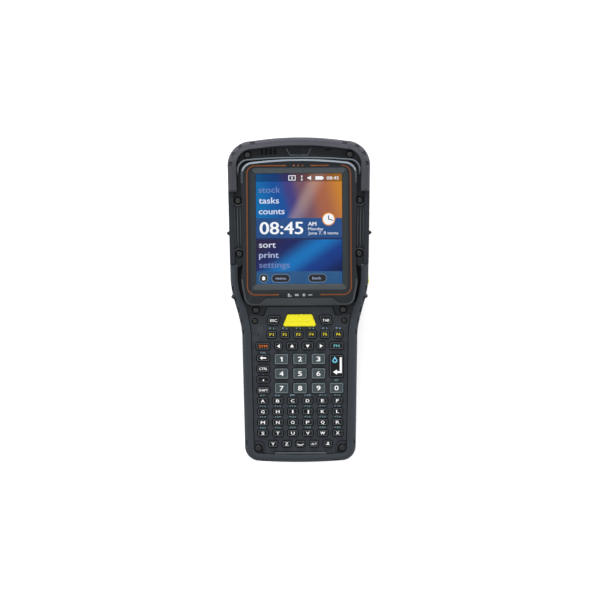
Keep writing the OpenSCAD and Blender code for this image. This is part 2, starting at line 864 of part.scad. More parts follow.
module sensor2d() {
    polygon([[-sensor_w / 2, slot_y + 2], [sensor_w / 2, slot_y + 2],
        [sensor_w / 2 - chin_slant, slot_y - 2.3], [chin_slant - sensor_w / 2, slot_y - 2.3]]);
}

// Slope from the platform down to the edge of the chin, drawn from the side
module chin_ramp() {
    low = pan_top + 0.3;
    high = bezel_top - 0.4;
    translate([-chin_half, 0, 0]) rotate([90, 0, 90]) linear_extrude(2 * chin_half)
        polygon([[chin_y, mid_top], [chin_y + chin_slope + 3, mid_top], [chin_y + chin_slope + 3, high],
            [chin_y + chin_slope, high], [chin_y, low]]);
}

module display_bezel() {
    color("#2b2f33") difference() {
        union() {
            slab(mid_top, pan_top) pan2d();
            slab(mid_top, bezel_top) platform2d();
            slab(bezel_top - over, rim_top) intersection() {
                difference() {
                    platform2d();
                    offset(delta = -rim_w) platform2d();
                }
                band2d(lcd_top, far);
            }
            chin_ramp();
        }
        slab(mid_top - over, lip_under) lcd2d(panel_margin);
        slab(lip_under - over, rim_top) lcd2d(0);
        slab(bezel_top - surround_d, rim_top + over) offset(r = surround_r) lcd2d(surround - surround_r);
        screw_wells(bezel_screws, pan_top);
        slab(mid_top - over, mid_top + speaker_t + fit) speaker2d(2 * fit);
        slab(mid_top, rim_top) for (i = [-1.5:1.5]) translate([i * slot_pitch - speaker_left, slot_y])
            square([slot_w, slot_len], center = true);
        slab(pan_top - 0.4, rim_top) sensor2d();
        translate([0, slot_y, mid_top - over]) cylinder(r = 0.5, h = pan_depth);
    }
}

module display_gasket() {
    color("#1b1c1e") slab(panel_top, lip_under) difference() {
        lcd2d(panel_margin - 0.4);
        lcd2d(panel_margin - 1.8);
    }
}

module touch_panel() {
    color("#16324f") slab(panel_top - panel_t, panel_top) lcd2d(panel_margin - gap);
}

module lcd_module() {
    color("#8f949a") slab(mid_top, panel_top - panel_t) lcd2d(panel_margin - 0.5);
}

module speaker() {
    color("#4a4a4a") slab(mid_top, mid_top + speaker_t) speaker2d(0);
}

module keypad_plate() {
    color("#3a3e43") difference() {
        slab(mid_top, plate_top) difference() {
            intersection() {
                lip2d(lip_gap);
                below_chin2d(gap);
            }
            all_key_holes();
        }
        screw_wells(plate_screws, plate_top);
        // Microphone
        translate([-wide_x - microphone_out, function_y, mid_top - over]) cylinder(r = 0.5, h = plate_t + 1);
    }
}

module keypad_board() {
    color("#1f5a37") {
        difference() {
            slab(board_seat, board_top) intersection() {
                inner2d(gap);
                below_chin2d(wall + gap);
            }
            at_each(plate_screws, board_seat - over) cylinder(r = boss_r + gap, h = board_t + 1);
        }
        slab(board_top - over, board_top + dome_h) {
            for (x = [scan_dome_x, slant_x]) both_sides() translate([x, scan_y]) circle(r = dome_r);
            for (n = [1:6]) translate(function_at(n)) circle(r = dome_r);
            for (at = [sym_at, left_at, up_at, down_at]) translate(at) circle(r = dome_r);
            for (at = [right_at, fn_at, zero_at, enter_at]) translate(at) circle(r = dome_r);
            for (n = [0:3]) translate(command_at(n)) circle(r = dome_r);
            for (n = [1:9]) translate(digit_at(n)) circle(r = dome_r);
            for (row = [0:3], column = [0:5]) translate(letter_at(row, column)) circle(r = dome_r);
            for (column = [0:4]) translate(last_at(column)) circle(r = dome_r);
        }
    }
}

// Rubber boots: a wall round the side and a lip over the front
module boot(front) {
    difference() {
        slab(boot_back, front) outline2d();
        slab(boot_back - over, mid_top) core2d();
        slab(mid_top - over, front + over) lip2d(0);
    }
}

notch_z = boot_back + 6;
notch_w = 4;
notch_angles = [4, 30, 58, 84];

module corner_notch(a) {
    at = on_arc(top_corner, top_corner_r - groove_depth, a);
    translate([at[0], at[1], notch_z]) rotate([0, 0, a])
        block([0, -notch_w / 2, 0], [4, notch_w / 2, far]);
}

module boot_upper() {
    color("#66666d") difference() {
        boot(boot_front);
        slab(-over, far) band2d(-far, flank_hi + 0.2);
        wide_block(pod_half + gap, [pod_lo, far], [-over, parting]);
        both_sides() for (a = notch_angles) corner_notch(a);
    }
}

function groove_y(i) = chin_y + 12.2 - i * groove_pitch;

module grip_groove(y) {
    x = half_w(y) - groove_depth;
    block([x, y - groove_len / 2, notch_z], [x + 6, y + groove_len / 2, notch_z + groove_h]);
}

module boot_lower() {
    color("#4b4e55") difference() {
        union() {
            boot(grip_front);
            both_sides() side_nub(chin_y + 6.4, parting - 3);
        }
        slab(-over, far) band2d(flank_lo - 0.2, far);
        both_sides() for (i = [0:4]) grip_groove(groove_y(i));
        both_sides() block([wall_x - 4, button_y - button_l / 2 - gap, button_z - button_h / 2 - gap],
            [far, button_y + button_l / 2 + gap, button_z + button_h / 2 + gap]);
        // Opening for the dock
        wide_block(dock_half + 1, [y_end - over, y_end + 6], [boot_back - over, dock_z + dock_h + 1]);
    }
}

// Side scan buttons: a cap outside the wall, a stem through it and a flange inside
button_y = flank_lo - button_drop;
button_z = parting + 5.2;
wall_x = half_w(button_y - button_l / 2) - boot_t;
flange_x = wall_x - wall - 1.6;
flange_t = 1.2;
cap_x = wall_x + button_travel + 0.7;
stem_in = 1.2;
flange_in = 0.4;

// Block round the button's middle line, smaller than its cap by d on each side
module button_block(x0, x1, d) {
    block([x0, button_y - button_l / 2 + d, button_z - button_h / 2 + d],
        [x1, button_y + button_l / 2 - d, button_z + button_h / 2 - d]);
}

module button_hole() {
    button_block(flange_x - 3, far, stem_in - gap);
}

module side_button() {
    color("#d8ca2c") {
        button_block(cap_x, half_w(button_y) + button_proud, 0);
        button_block(flange_x, cap_x + over, stem_in);
        button_block(flange_x, flange_x + flange_t, flange_in);
    }
}

// Scanner at the top end
module pod2d(c) {
    offset(delta = -c) polygon([[-pod_half, pod_lo - c], [pod_half, pod_lo - c], [pod_half, y_top - 4],
        [pod_half - pod_chamfer, pod_hi - 0.6], [pod_half / 2, pod_hi], [-pod_half / 2, pod_hi],
        [pod_chamfer - pod_half, pod_hi - 0.6], [-pod_half, y_top - 4]]);
}

module window_block(c, y) {
    wide_block(window_w / 2 + c, y, [window_z - window_h / 2 - c, window_z + window_h / 2 + c]);
}

module scanner_pod() {
    color("#73737a") difference() {
        slab(pod_back, pod_front) pod2d(0);
        slab(pod_back + wall, pod_front - wall) intersection() {
            pod2d(wall);
            band2d(-far, window_back - window_ledge);
        }
        wide_block(pod_half - wall, [pod_lo - over, pod_lo + wall], [pod_back + wall, pod_front - wall]);
        window_block(-window_ledge, [pod_lo, far]);
        window_block(fit, [window_back, far]);
    }
}

module scanner_window() {
    color("#7a1f22") window_block(0, [window_back, window_back + window_t]);
}

module scan_engine() {
    color("#9aa0a6") {
        wide_block(engine_half, engine_y, [engine_z, engine_z + engine_size[2]]);
        for (x = [-8, 8]) translate([x, engine_y[1] - over, engine_z + engine_size[2] / 2])
            rotate([-90, 0, 0]) cylinder(r = lens_r, h = 1.5);
    }
}

// Electronics behind the display, and what joins them to the battery and the dock
module main_board() {
    color("#1d5c3a") {
        difference() {
            slab(board_z, board_z + board_t) intersection() {
                inset2d(boot_t + wall + gap);
                band2d(chin_y - board_end, pod_lo - board_pod_gap);
            }
            at_each(rear_screws_at, board_z - over) cylinder(r = rear_boss_r + gap, h = board_t + 1);
        }
        translate([-shield_size[0] / 2, lcd_y - shield_drop - shield_size[1] / 2, board_z - shield_size[2]])
            cube(shield_size + [0, 0, over]);
        translate([-radio_in - radio_size[0], lcd_y + radio_up, board_z - radio_size[2]])
            cube(radio_size + [0, 0, over]);
    }
}

module battery_contacts() {
    color("#2a2a2c") wide_block(contact_half, [contact_y, contact_y + contact_l],
        [battery_top + 0.1, bay_top + wall + 1]);
}

module dock_connector() {
    color("#1e1f22") difference() {
        wide_block(dock_half, [dock_face, dock_hi], [dock_z, dock_z + dock_h]);
        wide_block(dock_half - 1.5, [dock_face - over, dock_face + 1],
            [dock_z + 1.5, dock_z + dock_h - 1.5]);
    }
    color("#c8a24a") for (i = [-4:4]) translate([i * 2.4, 0, 0])
        wide_block(0.6, [dock_face + 0.5, dock_face + 1.5], [dock_z + 2.2, dock_z + dock_h - 2.2]);
}

module battery_pack() {
    mid = (battery_hi + battery_lo) / 2;
    battery_l = battery_hi - battery_lo;
    color("#2f3236") difference() {
        union() {
            slab(grip_back, battery_top) translate([0, mid]) rrect(battery_w, battery_l, 1.5);
            both_sides() translate([bead_x, bead_y, bead_z]) {
                rotate([0, 90, 0]) cylinder(r = bead_r, h = bead_len);
                block([0, 0, -bead_neck], [bead_len, battery_lo - bead_y + 1.5, bead_neck]);
            }
        }
        // Recess for the tip of the latch's tongue
        wide_block(tongue_half + 2, [battery_hi - 3, battery_hi + 1],
            [grip_back + latch_lip - gap, latch_slide_z + latch_t + gap]);
        // Shallow label field
        slab(grip_back - over, grip_back + gap) translate([0, mid])
            rrect(battery_w - 2 * label_margin, battery_l - 2 * label_margin - 2, 2);
    }
}

module battery_latch() {
    y = [latch_lo, latch_hi];
    color("#c9b92b") {
        wide_block(latch_half, y, [grip_back, latch_slide_z + over]);
        wide_block(latch_half + latch_wing, y, [latch_slide_z, latch_slide_z + latch_t]);
        wide_block(tongue_half, [bay_hi - 0.4, latch_lo + 1], [latch_slide_z, latch_slide_z + latch_t]);
    }
}

module accessory_inserts() {
    color("#b08d3e") at_inserts() difference() {
        cylinder(r = insert_r + insert_wall, h = insert_len);
        translate([0, 0, -over]) cylinder(r = insert_r, h = insert_len + 2 * over);
    }
}

module front_screws() {
    color("#3f4043") {
        screws(bezel_screws, pan_top);
        screws(plate_screws, plate_top);
    }
}

module rear_screws() {
    color("#3f4043") at_each(rear_screws_at, grip_back + gap) difference() {
        union() {
            cylinder(r = screw_head_r, h = rear_head_h);
            cylinder(r = screw_r, h = parting - grip_back + rear_grip);
        }
        translate([0, 0, -over]) cylinder(r = socket_r, h = socket_d + over, $fn = 6);
    }
}

// Keys in their colours
module scan_key() {
    color("#e8de26") {
        flange_slab() scan2d(key_flange);
        body_slab() scan2d(0);
        cap_slab(key_proud + scan_extra) scan2d(-cap_step);
    }
}

module slant_key() {
    color("#17181a") {
        flange_slab() slant2d(key_flange);
        body_slab() slant2d(0);
        cap_slab(key_proud) slant2d(-cap_step);
    }
}

module dark_key(at, size) {
    color("#17181a") key(at, size);
}

module digit_key(n) {
    color("#56646a") key(n == 0 ? zero_at : digit_at(n), digit_size);
}

module letter_row(row) {
    color("#17181a") for (column = [0:5]) key(letter_at(row, column), letter_size);
}

module last_row() {
    color("#17181a") for (column = [0:4]) key(last_at(column), last_size);
}

rear_housing();
strap_foot();
mid_frame();
display_bezel();
keypad_plate();
boot_upper();
boot_lower();
scanner_pod();
scanner_window();
scan_engine();
touch_panel();
display_gasket();
lcd_module();
speaker();
main_board();
keypad_board();
battery_contacts();
battery_pack();
battery_latch();
mirror([1, 0, 0]) side_button();  // side_button_left
side_button();  // side_button_right
dock_connector();
accessory_inserts();
front_screws();
rear_screws();
scan_key();  // key_scan
slant_key();  // key_esc
mirror([1, 0, 0]) slant_key();  // key_tab
dark_key(function_at(1), function_size);  // key_f1
dark_key(function_at(2), function_size);  // key_f2
dark_key(function_at(3), function_size);  // key_f3
dark_key(function_at(4), function_size);  // key_f4
dark_key(function_at(5), function_size);  // key_f5
dark_key(function_at(6), function_size);  // key_f6
dark_key(sym_at, wide_size);  // key_sym
dark_key(left_at, side_arrow_size);  // key_left
dark_key(up_at, mid_arrow_size);  // key_up
dark_key(down_at, mid_arrow_size);  // key_down
dark_key(right_at, side_arrow_size);  // key_right
dark_key(fn_at, wide_size);  // key_fn
dark_key(command_at(0), command_size);  // key_backspace
dark_key(command_at(1), command_size);  // key_ctrl
dark_key(command_at(2), command_size);  // key_dot
dark_key(command_at(3), command_size);  // key_shift
digit_key(1);  // key_1
digit_key(2);  // key_2
digit_key(3);  // key_3
digit_key(4);  // key_4
digit_key(5);  // key_5
digit_key(6);  // key_6
digit_key(7);  // key_7
digit_key(8);  // key_8
digit_key(9);  // key_9
digit_key(0);  // key_0
dark_key(enter_at, enter_size);  // key_enter
letter_row(0);  // keys_row_a
letter_row(1);  // keys_row_g
letter_row(2);  // keys_row_m
letter_row(3);  // keys_row_s
last_row();  // keys_row_y
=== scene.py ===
import math

import bmesh
import bpy
import numpy as np
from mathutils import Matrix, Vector
from mathutils.geometry import delaunay_2d_cdt


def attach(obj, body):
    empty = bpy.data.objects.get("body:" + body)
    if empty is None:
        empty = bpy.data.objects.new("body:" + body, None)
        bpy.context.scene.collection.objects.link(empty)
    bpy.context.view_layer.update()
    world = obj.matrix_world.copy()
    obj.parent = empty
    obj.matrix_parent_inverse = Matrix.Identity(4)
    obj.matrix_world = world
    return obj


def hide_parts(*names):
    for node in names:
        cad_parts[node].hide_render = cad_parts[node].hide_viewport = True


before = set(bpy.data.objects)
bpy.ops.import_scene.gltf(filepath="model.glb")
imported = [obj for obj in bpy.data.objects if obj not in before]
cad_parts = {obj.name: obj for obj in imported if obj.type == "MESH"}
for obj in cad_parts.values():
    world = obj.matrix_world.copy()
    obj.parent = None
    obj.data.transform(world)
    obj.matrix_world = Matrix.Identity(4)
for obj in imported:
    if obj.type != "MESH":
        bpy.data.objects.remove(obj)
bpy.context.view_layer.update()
scene = bpy.context.scene
scene.view_settings.view_transform = "Standard"
MM = 0.001

# ---- Camera
# The terminal lies on its back, and the camera looks straight down on the display
# with a long lens, as a maker's front view is taken.
LENS, SENSOR, PICTURE_WIDTH = 135, 36, 0.4126
CAMERA_X, CAMERA_Y, CAMERA_TURN, FACE_LEVEL = 0.0003, -0.00035, -0.0058, 0.040
camera_data = bpy.data.cameras.new("front_view")
camera_data.lens = LENS
camera_data.sensor_width = SENSOR
camera = bpy.data.objects.new("front_view", camera_data)
camera.location = (CAMERA_X, CAMERA_Y, FACE_LEVEL + PICTURE_WIDTH * LENS / SENSOR)
camera.rotation_euler = (0, 0, CAMERA_TURN)
scene.collection.objects.link(camera)
scene.camera = camera


# ---- Light
# A plain white studio: the walls give most of the light, a broad lamp stands beyond each
# end, a small one at each side, and one hangs above, the only one that gloss mirrors.
def feed(inputs, values):
    """Gives each of these inputs a plain value, or links it to the output that feeds it."""
    for key, value in values.items():
        if isinstance(value, bpy.types.NodeSocket):
            value.id_data.links.new(value, inputs[key])
        else:
            inputs[key].default_value = value


def add_node(tree, kind, values=None, output=0, **settings):
    """Adds a shader node with its settings and with what feeds its inputs, and gives one of its outputs."""
    made = tree.nodes.new("ShaderNode" + kind)
    for key, value in settings.items():
        setattr(made, key, value)
    feed(made.inputs, values or {})
    return made.outputs[output]


def calc(tree, operation, *values):
    """A number that is worked out from plain numbers and outputs."""
    return add_node(tree, "Math", dict(enumerate(values)), operation=operation)


def remap(tree, value, low, high):
    """A number of 0 to 1 laid between two others."""
    return add_node(tree, "MapRange", {"Value": value, "To Min": low, "To Max": high})


def mix_colours(tree, share, first, second):
    """A blend of two colours by a share."""
    return add_node(tree, "Mix", {"Factor": share, "A": first, "B": second}, "Result", data_type="RGBA")


def seen_directly(tree):
    """1 for rays that show a surface to the camera or through glass, else 0; then 1 for mirrored rays, else 0."""
    path = tree.nodes.new("ShaderNodeLightPath").outputs
    return calc(tree, "MAXIMUM", path["Is Camera Ray"], path["Is Transmission Ray"]), path["Is Glossy Ray"]


def add_lamp(name, place, size, power, mirrored=False):
    """A square soft lamp that points at the middle of the terminal."""
    data = bpy.data.lights.new(name, "AREA")
    data.size = size
    data.energy = power
    lamp = bpy.data.objects.new(name, data)
    lamp.location = place
    lamp.visible_glossy = mirrored
    lamp.rotation_mode = "QUATERNION"
    lamp.rotation_quaternion = (-Vector(place)).to_track_quat("-Z", "Y")
    scene.collection.objects.link(lamp)


WALL_LIGHT, WALL_IN_GLOSS = 0.25, 0.5
world = bpy.data.worlds.new("studio_walls")
scene.world = world
world.use_nodes = True
walls = world.node_tree
direct, mirrored_ray = seen_directly(walls)
indirect = remap(walls, mirrored_ray, WALL_LIGHT, WALL_IN_GLOSS)
strength = add_node(walls, "Mix", {"Factor": direct, "A": indirect, "B": 1.0}, "Result", data_type="FLOAT")
feed(walls.nodes["Background"].inputs, {"Color": (1, 1, 1, 1), "Strength": strength})
add_lamp("lamp_above", (-0.40, 0.70, 1.30), 0.6, 3.6, mirrored=True)
add_lamp("lamp_beyond_scanner", (-0.15, 1.40, 0.42), 0.8, 34.0)
add_lamp("lamp_before_grip", (0.10, -1.35, 0.60), 0.8, 9.0)
add_lamp("lamp_at_left", (-1.25, 0.0, 0.30), 0.7, 8.0)
add_lamp("lamp_at_right", (1.25, 0.0, 0.26), 0.7, 12.0)

# ---- Floor
# A pale sheet under the terminal. It shines a little where the camera sees it, and keeps the
# soft shadow of the terminal.
FLOOR_HALF, FLOOR_LEVEL, FLOOR_WHITE, FLOOR_LIFT = 6, -0.0001, 0.86, 0.55


def new_material(name):
    """A new material, its node tree and the inputs of its Principled shader."""
    made = bpy.data.materials.new(name)
    made.use_nodes = True
    return made, made.node_tree, made.node_tree.nodes["Principled BSDF"].inputs


paper, tree, shader = new_material("white_paper")
feed(shader, {"Base Color": (FLOOR_WHITE, FLOOR_WHITE, FLOOR_WHITE, 1), "Roughness": 0.9, "Specular IOR Level": 0.1,
              "Emission Color": (1, 1, 1, 1),
              "Emission Strength": calc(tree, "MULTIPLY", seen_directly(tree)[0], FLOOR_LIFT)})
floor_mesh = bpy.data.meshes.new("white_sheet")
floor_corners = [(x * FLOOR_HALF, y * FLOOR_HALF, FLOOR_LEVEL) for x, y in ((-1, -1), (1, -1), (1, 1), (-1, 1))]
floor_mesh.from_pydata(floor_corners, [], [(0, 1, 2, 3)])
floor_mesh.materials.append(paper)
floor = bpy.data.objects.new("white_sheet", floor_mesh)
scene.collection.objects.link(floor)

# ---- Moulded finishes
# Every moulded piece has a spark-eroded grain, a slight drift of its colour and paler edges, partly
# rubbed by handling and partly a painted highlight. The three effects are groups that the finishes share.
NUMBER, COLOUR = "NodeSocketFloat", "NodeSocketColor"


def srgb(red, green, blue):
    """A colour of 0 to 255 as the linear colour that a shader takes."""
    share = np.array([red, green, blue]) / 255
    linear = np.where(share <= 0.04045, share / 12.92, ((share + 0.055) / 1.055) ** 2.4)
    return (*linear, 1.0)


def new_group(name, inputs, outputs):
    """An empty node group with its named sockets, the outputs of its input node and the inputs of its output node."""
    group = bpy.data.node_groups.new(name, "ShaderNodeTree")
    for side, sockets in (("INPUT", inputs), ("OUTPUT", outputs)):
        for label, kind in sockets.items():
            group.interface.new_socket(label, in_out=side, socket_type=kind)
    return group, group.nodes.new("NodeGroupInput").outputs, group.nodes.new("NodeGroupOutput").inputs


def cloud(tree, scale, detail, roughness=0.5):
    """A cloudy number over the piece's own coordinates."""
    place = add_node(tree, "TexCoord", output="Object")
    return add_node(tree, "TexNoise", {"Vector": place, "Scale": scale, "Detail": detail, "Roughness": roughness})


spark_grain, given, result = new_group("spark_grain", {"Scale": NUMBER}, {"Height": NUMBER})
pits = cloud(spark_grain, given["Scale"], 2.0, 0.6)
swell = cloud(spark_grain, calc(spark_grain, "MULTIPLY", given["Scale"], 0.23), 1.0)
feed(result, {"Height": calc(spark_grain, "MULTIPLY_ADD", swell, 0.5, pits)})

colour_drift, given, result = new_group(
    "colour_drift", {"Colour": COLOUR, "Amount": NUMBER, "Scale": NUMBER}, {"Colour": COLOUR})
around = calc(colour_drift, "ADD", cloud(colour_drift, given["Scale"], 3.0, 0.55), -0.5)
factor = calc(colour_drift, "ADD", calc(colour_drift, "MULTIPLY", around, given["Amount"]), 1.0)
feed(result, {"Colour": add_node(colour_drift, "VectorMath", {0: given["Colour"], "Scale": factor}, operation="SCALE")})

rubbed_and_highlit_edges, given, result = new_group(
    "rubbed_and_highlit_edges", {"Colour": COLOUR, "Rubbed": COLOUR, "Amount": NUMBER}, {"Colour": COLOUR})
# Paler convex edges: partly wear, partly a painted highlight.
bend = add_node(rubbed_and_highlit_edges, "NewGeometry", output="Pointiness")
edge = add_node(rubbed_and_highlit_edges, "MapRange", {"Value": bend, "From Min": 0.52, "From Max": 0.62})
patchy = add_node(rubbed_and_highlit_edges, "MapRange", {"Value": cloud(rubbed_and_highlit_edges, 160.0, 3.0), "From Min": 0.3,
                                             "From Max": 0.65})
worn_and_highlit = calc(rubbed_and_highlit_edges, "MULTIPLY", calc(rubbed_and_highlit_edges, "MULTIPLY", edge, patchy), given["Amount"])
feed(result, {"Colour": mix_colours(rubbed_and_highlit_edges, worn_and_highlit, given["Colour"], given["Rubbed"])})


def drifting(tree, colour, amount, scale):
    """A colour that drifts a little over the piece."""
    return add_node(tree, "Group", {"Colour": colour, "Amount": amount, "Scale": scale}, node_tree=colour_drift)


def moulded(name, colour, rubbed, roughness, grain_mm=0.3, depth_mm=0.02, drift=0.16, rub=0.6, specular=0.3):
    """A moulded plastic or rubber: drifting colour, edges rubbed paler and lit by a painted highlight, and grain in
    height and roughness.
    """
    material, tree, shader = new_material(name)
    edges = add_node(tree, "Group", {"Colour": drifting(tree, srgb(*colour), drift, 90.0), "Rubbed": srgb(*rubbed),
                                     "Amount": rub}, node_tree=rubbed_and_highlit_edges)
    grain = add_node(tree, "Group", {"Scale": 1000.0 / grain_mm}, node_tree=spark_grain)
    bump = add_node(tree, "Bump", {"Height": grain, "Strength": 0.6, "Distance": depth_mm * MM})
    feed(shader, {"Base Color": edges, "Specular IOR Level": specular, "Normal": bump,
                  "Roughness": remap(tree, grain, roughness - 0.08, roughness + 0.08)})
    return material


# ---- Frame and rear half
# Glass-filled nylon mouldings that screw together behind the rubber. Their sharp edges
# are broken by a small radius, as every moulded edge is.
def place_piece(name, mesh, materials, body, stands_for, sharp, radius=0.0):
    """Puts a mesh into the scene: smooth up to the sharp angle, its sharper edges rounded by the radius, riding
    on its body and the solids that it stands for."""
    for material in materials:
        mesh.materials.append(material)
    mesh.polygons.foreach_set("use_smooth", np.ones(len(mesh.polygons), bool))
    mesh.set_sharp_from_angle(angle=math.radians(sharp))
    piece = bpy.data.objects.new(name, mesh)
    scene.collection.objects.link(piece)
    if radius:
        rounding = piece.modifiers.new("round_edges", "BEVEL")
        rounding.width = radius * MM
        rounding.segments = 2
        rounding.limit_method = "ANGLE"
        rounding.angle_limit = math.radians(sharp)
        rounding.use_clamp_overlap = True
    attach(piece, body)
    if stands_for:
        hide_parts(*stands_for)


def softened(name, node, material, radius, body="terminal"):
    """A copy of a solid, welded and with its flat triangles joined, whose edges get a small round."""
    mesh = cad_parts[node].data.copy()
    mesh.name = name
    mesh.materials.clear()
    work = bmesh.new()
    work.from_mesh(mesh)
    bmesh.ops.remove_doubles(work, verts=work.verts, dist=1e-6)
    bmesh.ops.dissolve_limit(work, angle_limit=math.radians(0.6), verts=work.verts, edges=work.edges)
    for face in work.faces:
        face.material_index = 0
    work.to_mesh(mesh)
    work.free()
    place_piece(name, mesh, [material], body, [node], 35, radius)


housing_plastic = moulded("housing_plastic", (46, 49, 54), (88, 92, 96), 0.6, rub=0.0)
frame_plastic = moulded("frame_plastic", (40, 44, 50), (90, 95, 102), 0.58, rub=0.0)
softened("rear_housing_moulding", "rear_housing", housing_plastic, 0.4)
softened("strap_foot_moulding", "strap_foot", housing_plastic, 0.6)
softened("mid_frame_moulding", "mid_frame", frame_plastic, 0.25)


# ---- Boards, speaker, seal and engine
# What the case holds: two green boards, a contact block, the speaker can, a foam seal
# and the die-cast scan engine. Each keeps its solid and gets the finish of the real piece.
def finish(material, *nodes):
    """Gives solids that stay a new material."""
    for node in nodes:
        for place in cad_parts[node].material_slots:
            place.material = material


def metal(name, colour, rubbed, roughness):
    """A metal with the shared grain, drift and edges rubbed paler and lit by a painted highlight."""
    material = moulded(name, colour, rubbed, roughness, grain_mm=0.25, depth_mm=0.008, drift=0.12, rub=0.5)
    feed(material.node_tree.nodes["Principled BSDF"].inputs, {"Metallic": 1.0})
    return material


contact_black = moulded("contact_black", (34, 34, 37), (70, 70, 76), 0.5)
finish(contact_black, "battery_contacts")
finish(moulded("solder_mask", (22, 84, 52), (60, 120, 84), 0.36, grain_mm=1.2, drift=0.25),
       "main_board", "keypad_board")
finish(moulded("gasket_foam", (22, 22, 24), (40, 40, 44), 0.9, grain_mm=0.5, depth_mm=0.08), "display_gasket")
finish(metal("engine_metal", (176, 180, 184), (220, 222, 224), 0.4), "scan_engine")
finish(metal("speaker_metal", (96, 97, 100), (150, 150, 152), 0.42), "speaker")
finish(metal("insert_brass", (205, 170, 98), (236, 210, 150), 0.32), "accessory_inserts")

# ---- Dock connector
# A black moulded block closes the lower end. Nine gold springs stand out of its face,
# 2.4 mm apart, to meet a charging dock.
DOCK_FACE, DOCK_MIDDLE, DOCK_PITCH, SPRING_WIDTH, SPRING_TALL = -110.4, 17.0, 2.4, 1.1, 4.2
finish(contact_black, "dock_connector")


def circle(angle):
    """Points of the unit circle at these angles."""
    return np.stack([np.cos(angle), np.sin(angle)], -1)


def full_turn(count):
    """Angles of evenly spaced points round a circle."""
    return np.arange(count) * 2 * math.pi / count


def right_of(along):
    """Directions to the right of these, at unit length."""
    out = np.column_stack([along[:, 1], -along[:, 0]])
    return out / np.hypot(*out.T)[:, None]


def rounded_polygon(corners, radius, grow, steps=6):
    """Closed outline round a convex polygon given anticlockwise. Each corner is an arc whose middle is where
    the two sides meet once they are moved in by the radius; grow widens all sides alike."""
    corners = np.asarray(corners, float)
    out = right_of(np.roll(corners, -1, 0) - corners)
    before = np.roll(out, 1, 0)
    middle = corners - radius * (before + out) / (1 + np.sum(before * out, 1))[:, None]
    start = np.arctan2(before[:, 1], before[:, 0])
    sweep = (np.arctan2(out[:, 1], out[:, 0]) - start) % (2 * math.pi)
    angle = start[:, None] + sweep[:, None] * np.linspace(0, 1, steps)[None]
    return (middle[:, None] + max(radius + grow, 0.02) * circle(angle)).reshape(-1, 2)


def bar_corners(left, right, low, high):
    """Corners of an upright rectangle between four edges, anticlockwise."""
    return [(left, low), (right, low), (right, high), (left, high)]


def box_corners(x, y, width, height):
    """Corners of an upright rectangle about (x, y), anticlockwise."""
    return bar_corners(x - width / 2, x + width / 2, y - height / 2, y + height / 2)


def at_level(ring, level):
    """Flat points lifted to a level."""
    return np.column_stack([ring, np.full(len(ring), level)])


def skin(rings, capped=True):
    """Joins neighbouring closed rings of equal length with quads. The first and last ring are filled with fans
    where the ends are capped."""
    rings = np.asarray(rings, float)
    count, length, _ = rings.shape
    index = np.arange(count * length).reshape(count, length)
    near, far = index[:-1], index[1:]
    quads = np.stack([near, np.roll(near, -1, 1), np.roll(far, -1, 1), far], axis=-1).reshape(-1, 4)
    points, faces = rings.reshape(-1, 3), quads.tolist()
    if capped:
        points = np.vstack([points, rings[0].mean(0), rings[-1].mean(0)])
        for ring, hub in ((index[0], count * length), (index[-1], count * length + 1)):
            faces += np.column_stack([ring, np.roll(ring, -1), np.full(length, hub)]).tolist()
    return points, faces, [0] * len(faces)


def stacked(corners, radius, profile, tones=None):
    """Rings of one rounded polygon above each other, with filled ends: profile rows are (grow, level), and tones
    are the material numbers of the bands between them."""
    rings = [at_level(rounded_polygon(corners, radius, grow), level) for grow, level in profile]
    points, faces, plain = skin(rings)
    if tones is None:
        return points, faces, plain
    return points, faces, np.repeat([*tones, tones[0], tones[-1]], len(rings[0])).tolist()


def toned(shape, tone):
    """The same shape with one material number on all its faces."""
    return shape[0], shape[1], [tone] * len(shape[1])


def together(shapes):
    """Several shapes as one: points, faces and the number of the material of each face."""
    points, faces, tones, start = [], [], [], 0
    for shape_points, shape_faces, shape_tones in shapes:
        points.append(np.asarray(shape_points, float))
        faces += [[i + start for i in face] for face in shape_faces]
        tones += list(shape_tones)
        start += len(shape_points)
    return np.vstack(points), faces, tones


def add_piece(name, shape, materials, stands_for=(), body="terminal"):
    """Puts a shape in millimetres into a mesh in metres, welds it, turns its faces outwards and lets it ride."""
    points, faces, tones = shape
    mesh = bpy.data.meshes.new(name)
    mesh.from_pydata((np.asarray(points) * MM).tolist(), [], faces)
    mesh.polygons.foreach_set("material_index", np.array(tones, np.int32))
    work = bmesh.new()
    work.from_mesh(mesh)
    bmesh.ops.remove_doubles(work, verts=work.verts, dist=2e-7)
    bmesh.ops.dissolve_degenerate(work, edges=work.edges, dist=2e-7)
    bmesh.ops.recalc_face_normals(work, faces=work.faces)
    work.to_mesh(mesh)
    work.free()
    place_piece(name, mesh, materials, body, stands_for, 32)


springs = []
for n in range(9):
    points, faces, tones = stacked(box_corners(DOCK_PITCH * (n - 4), DOCK_MIDDLE, SPRING_WIDTH, SPRING_TALL), 0.4,
                                   [(0, 0.3), (0, -0.05), (-0.12, -0.16), (-0.3, -0.2)])
    springs.append((points[:, [0, 2, 1]] + [0, DOCK_FACE, 0], faces, tones))
contact_gold = metal("contact_gold", (226, 186, 96), (246, 222, 160), 0.24)
add_piece("dock_springs", together(springs), [contact_gold])

# ---- Battery and latch
# The pack is a spark-textured moulding that hooks in at its lower end, and a yellow latch
# holds its upper end.
battery_plastic = moulded("battery_plastic", (48, 51, 55), (90, 94, 98), 0.58, rub=0.2)
yellow_plastic = moulded("yellow_plastic", (238, 228, 36), (246, 238, 120), 0.4, grain_mm=0.4, depth_mm=0.008,
                         drift=0.05, specular=0.4)
softened("battery_moulding", "battery_pack", battery_plastic, 0.5, "battery_pack")
softened("latch_moulding", "battery_latch", yellow_plastic, 0.3, "battery_latch")
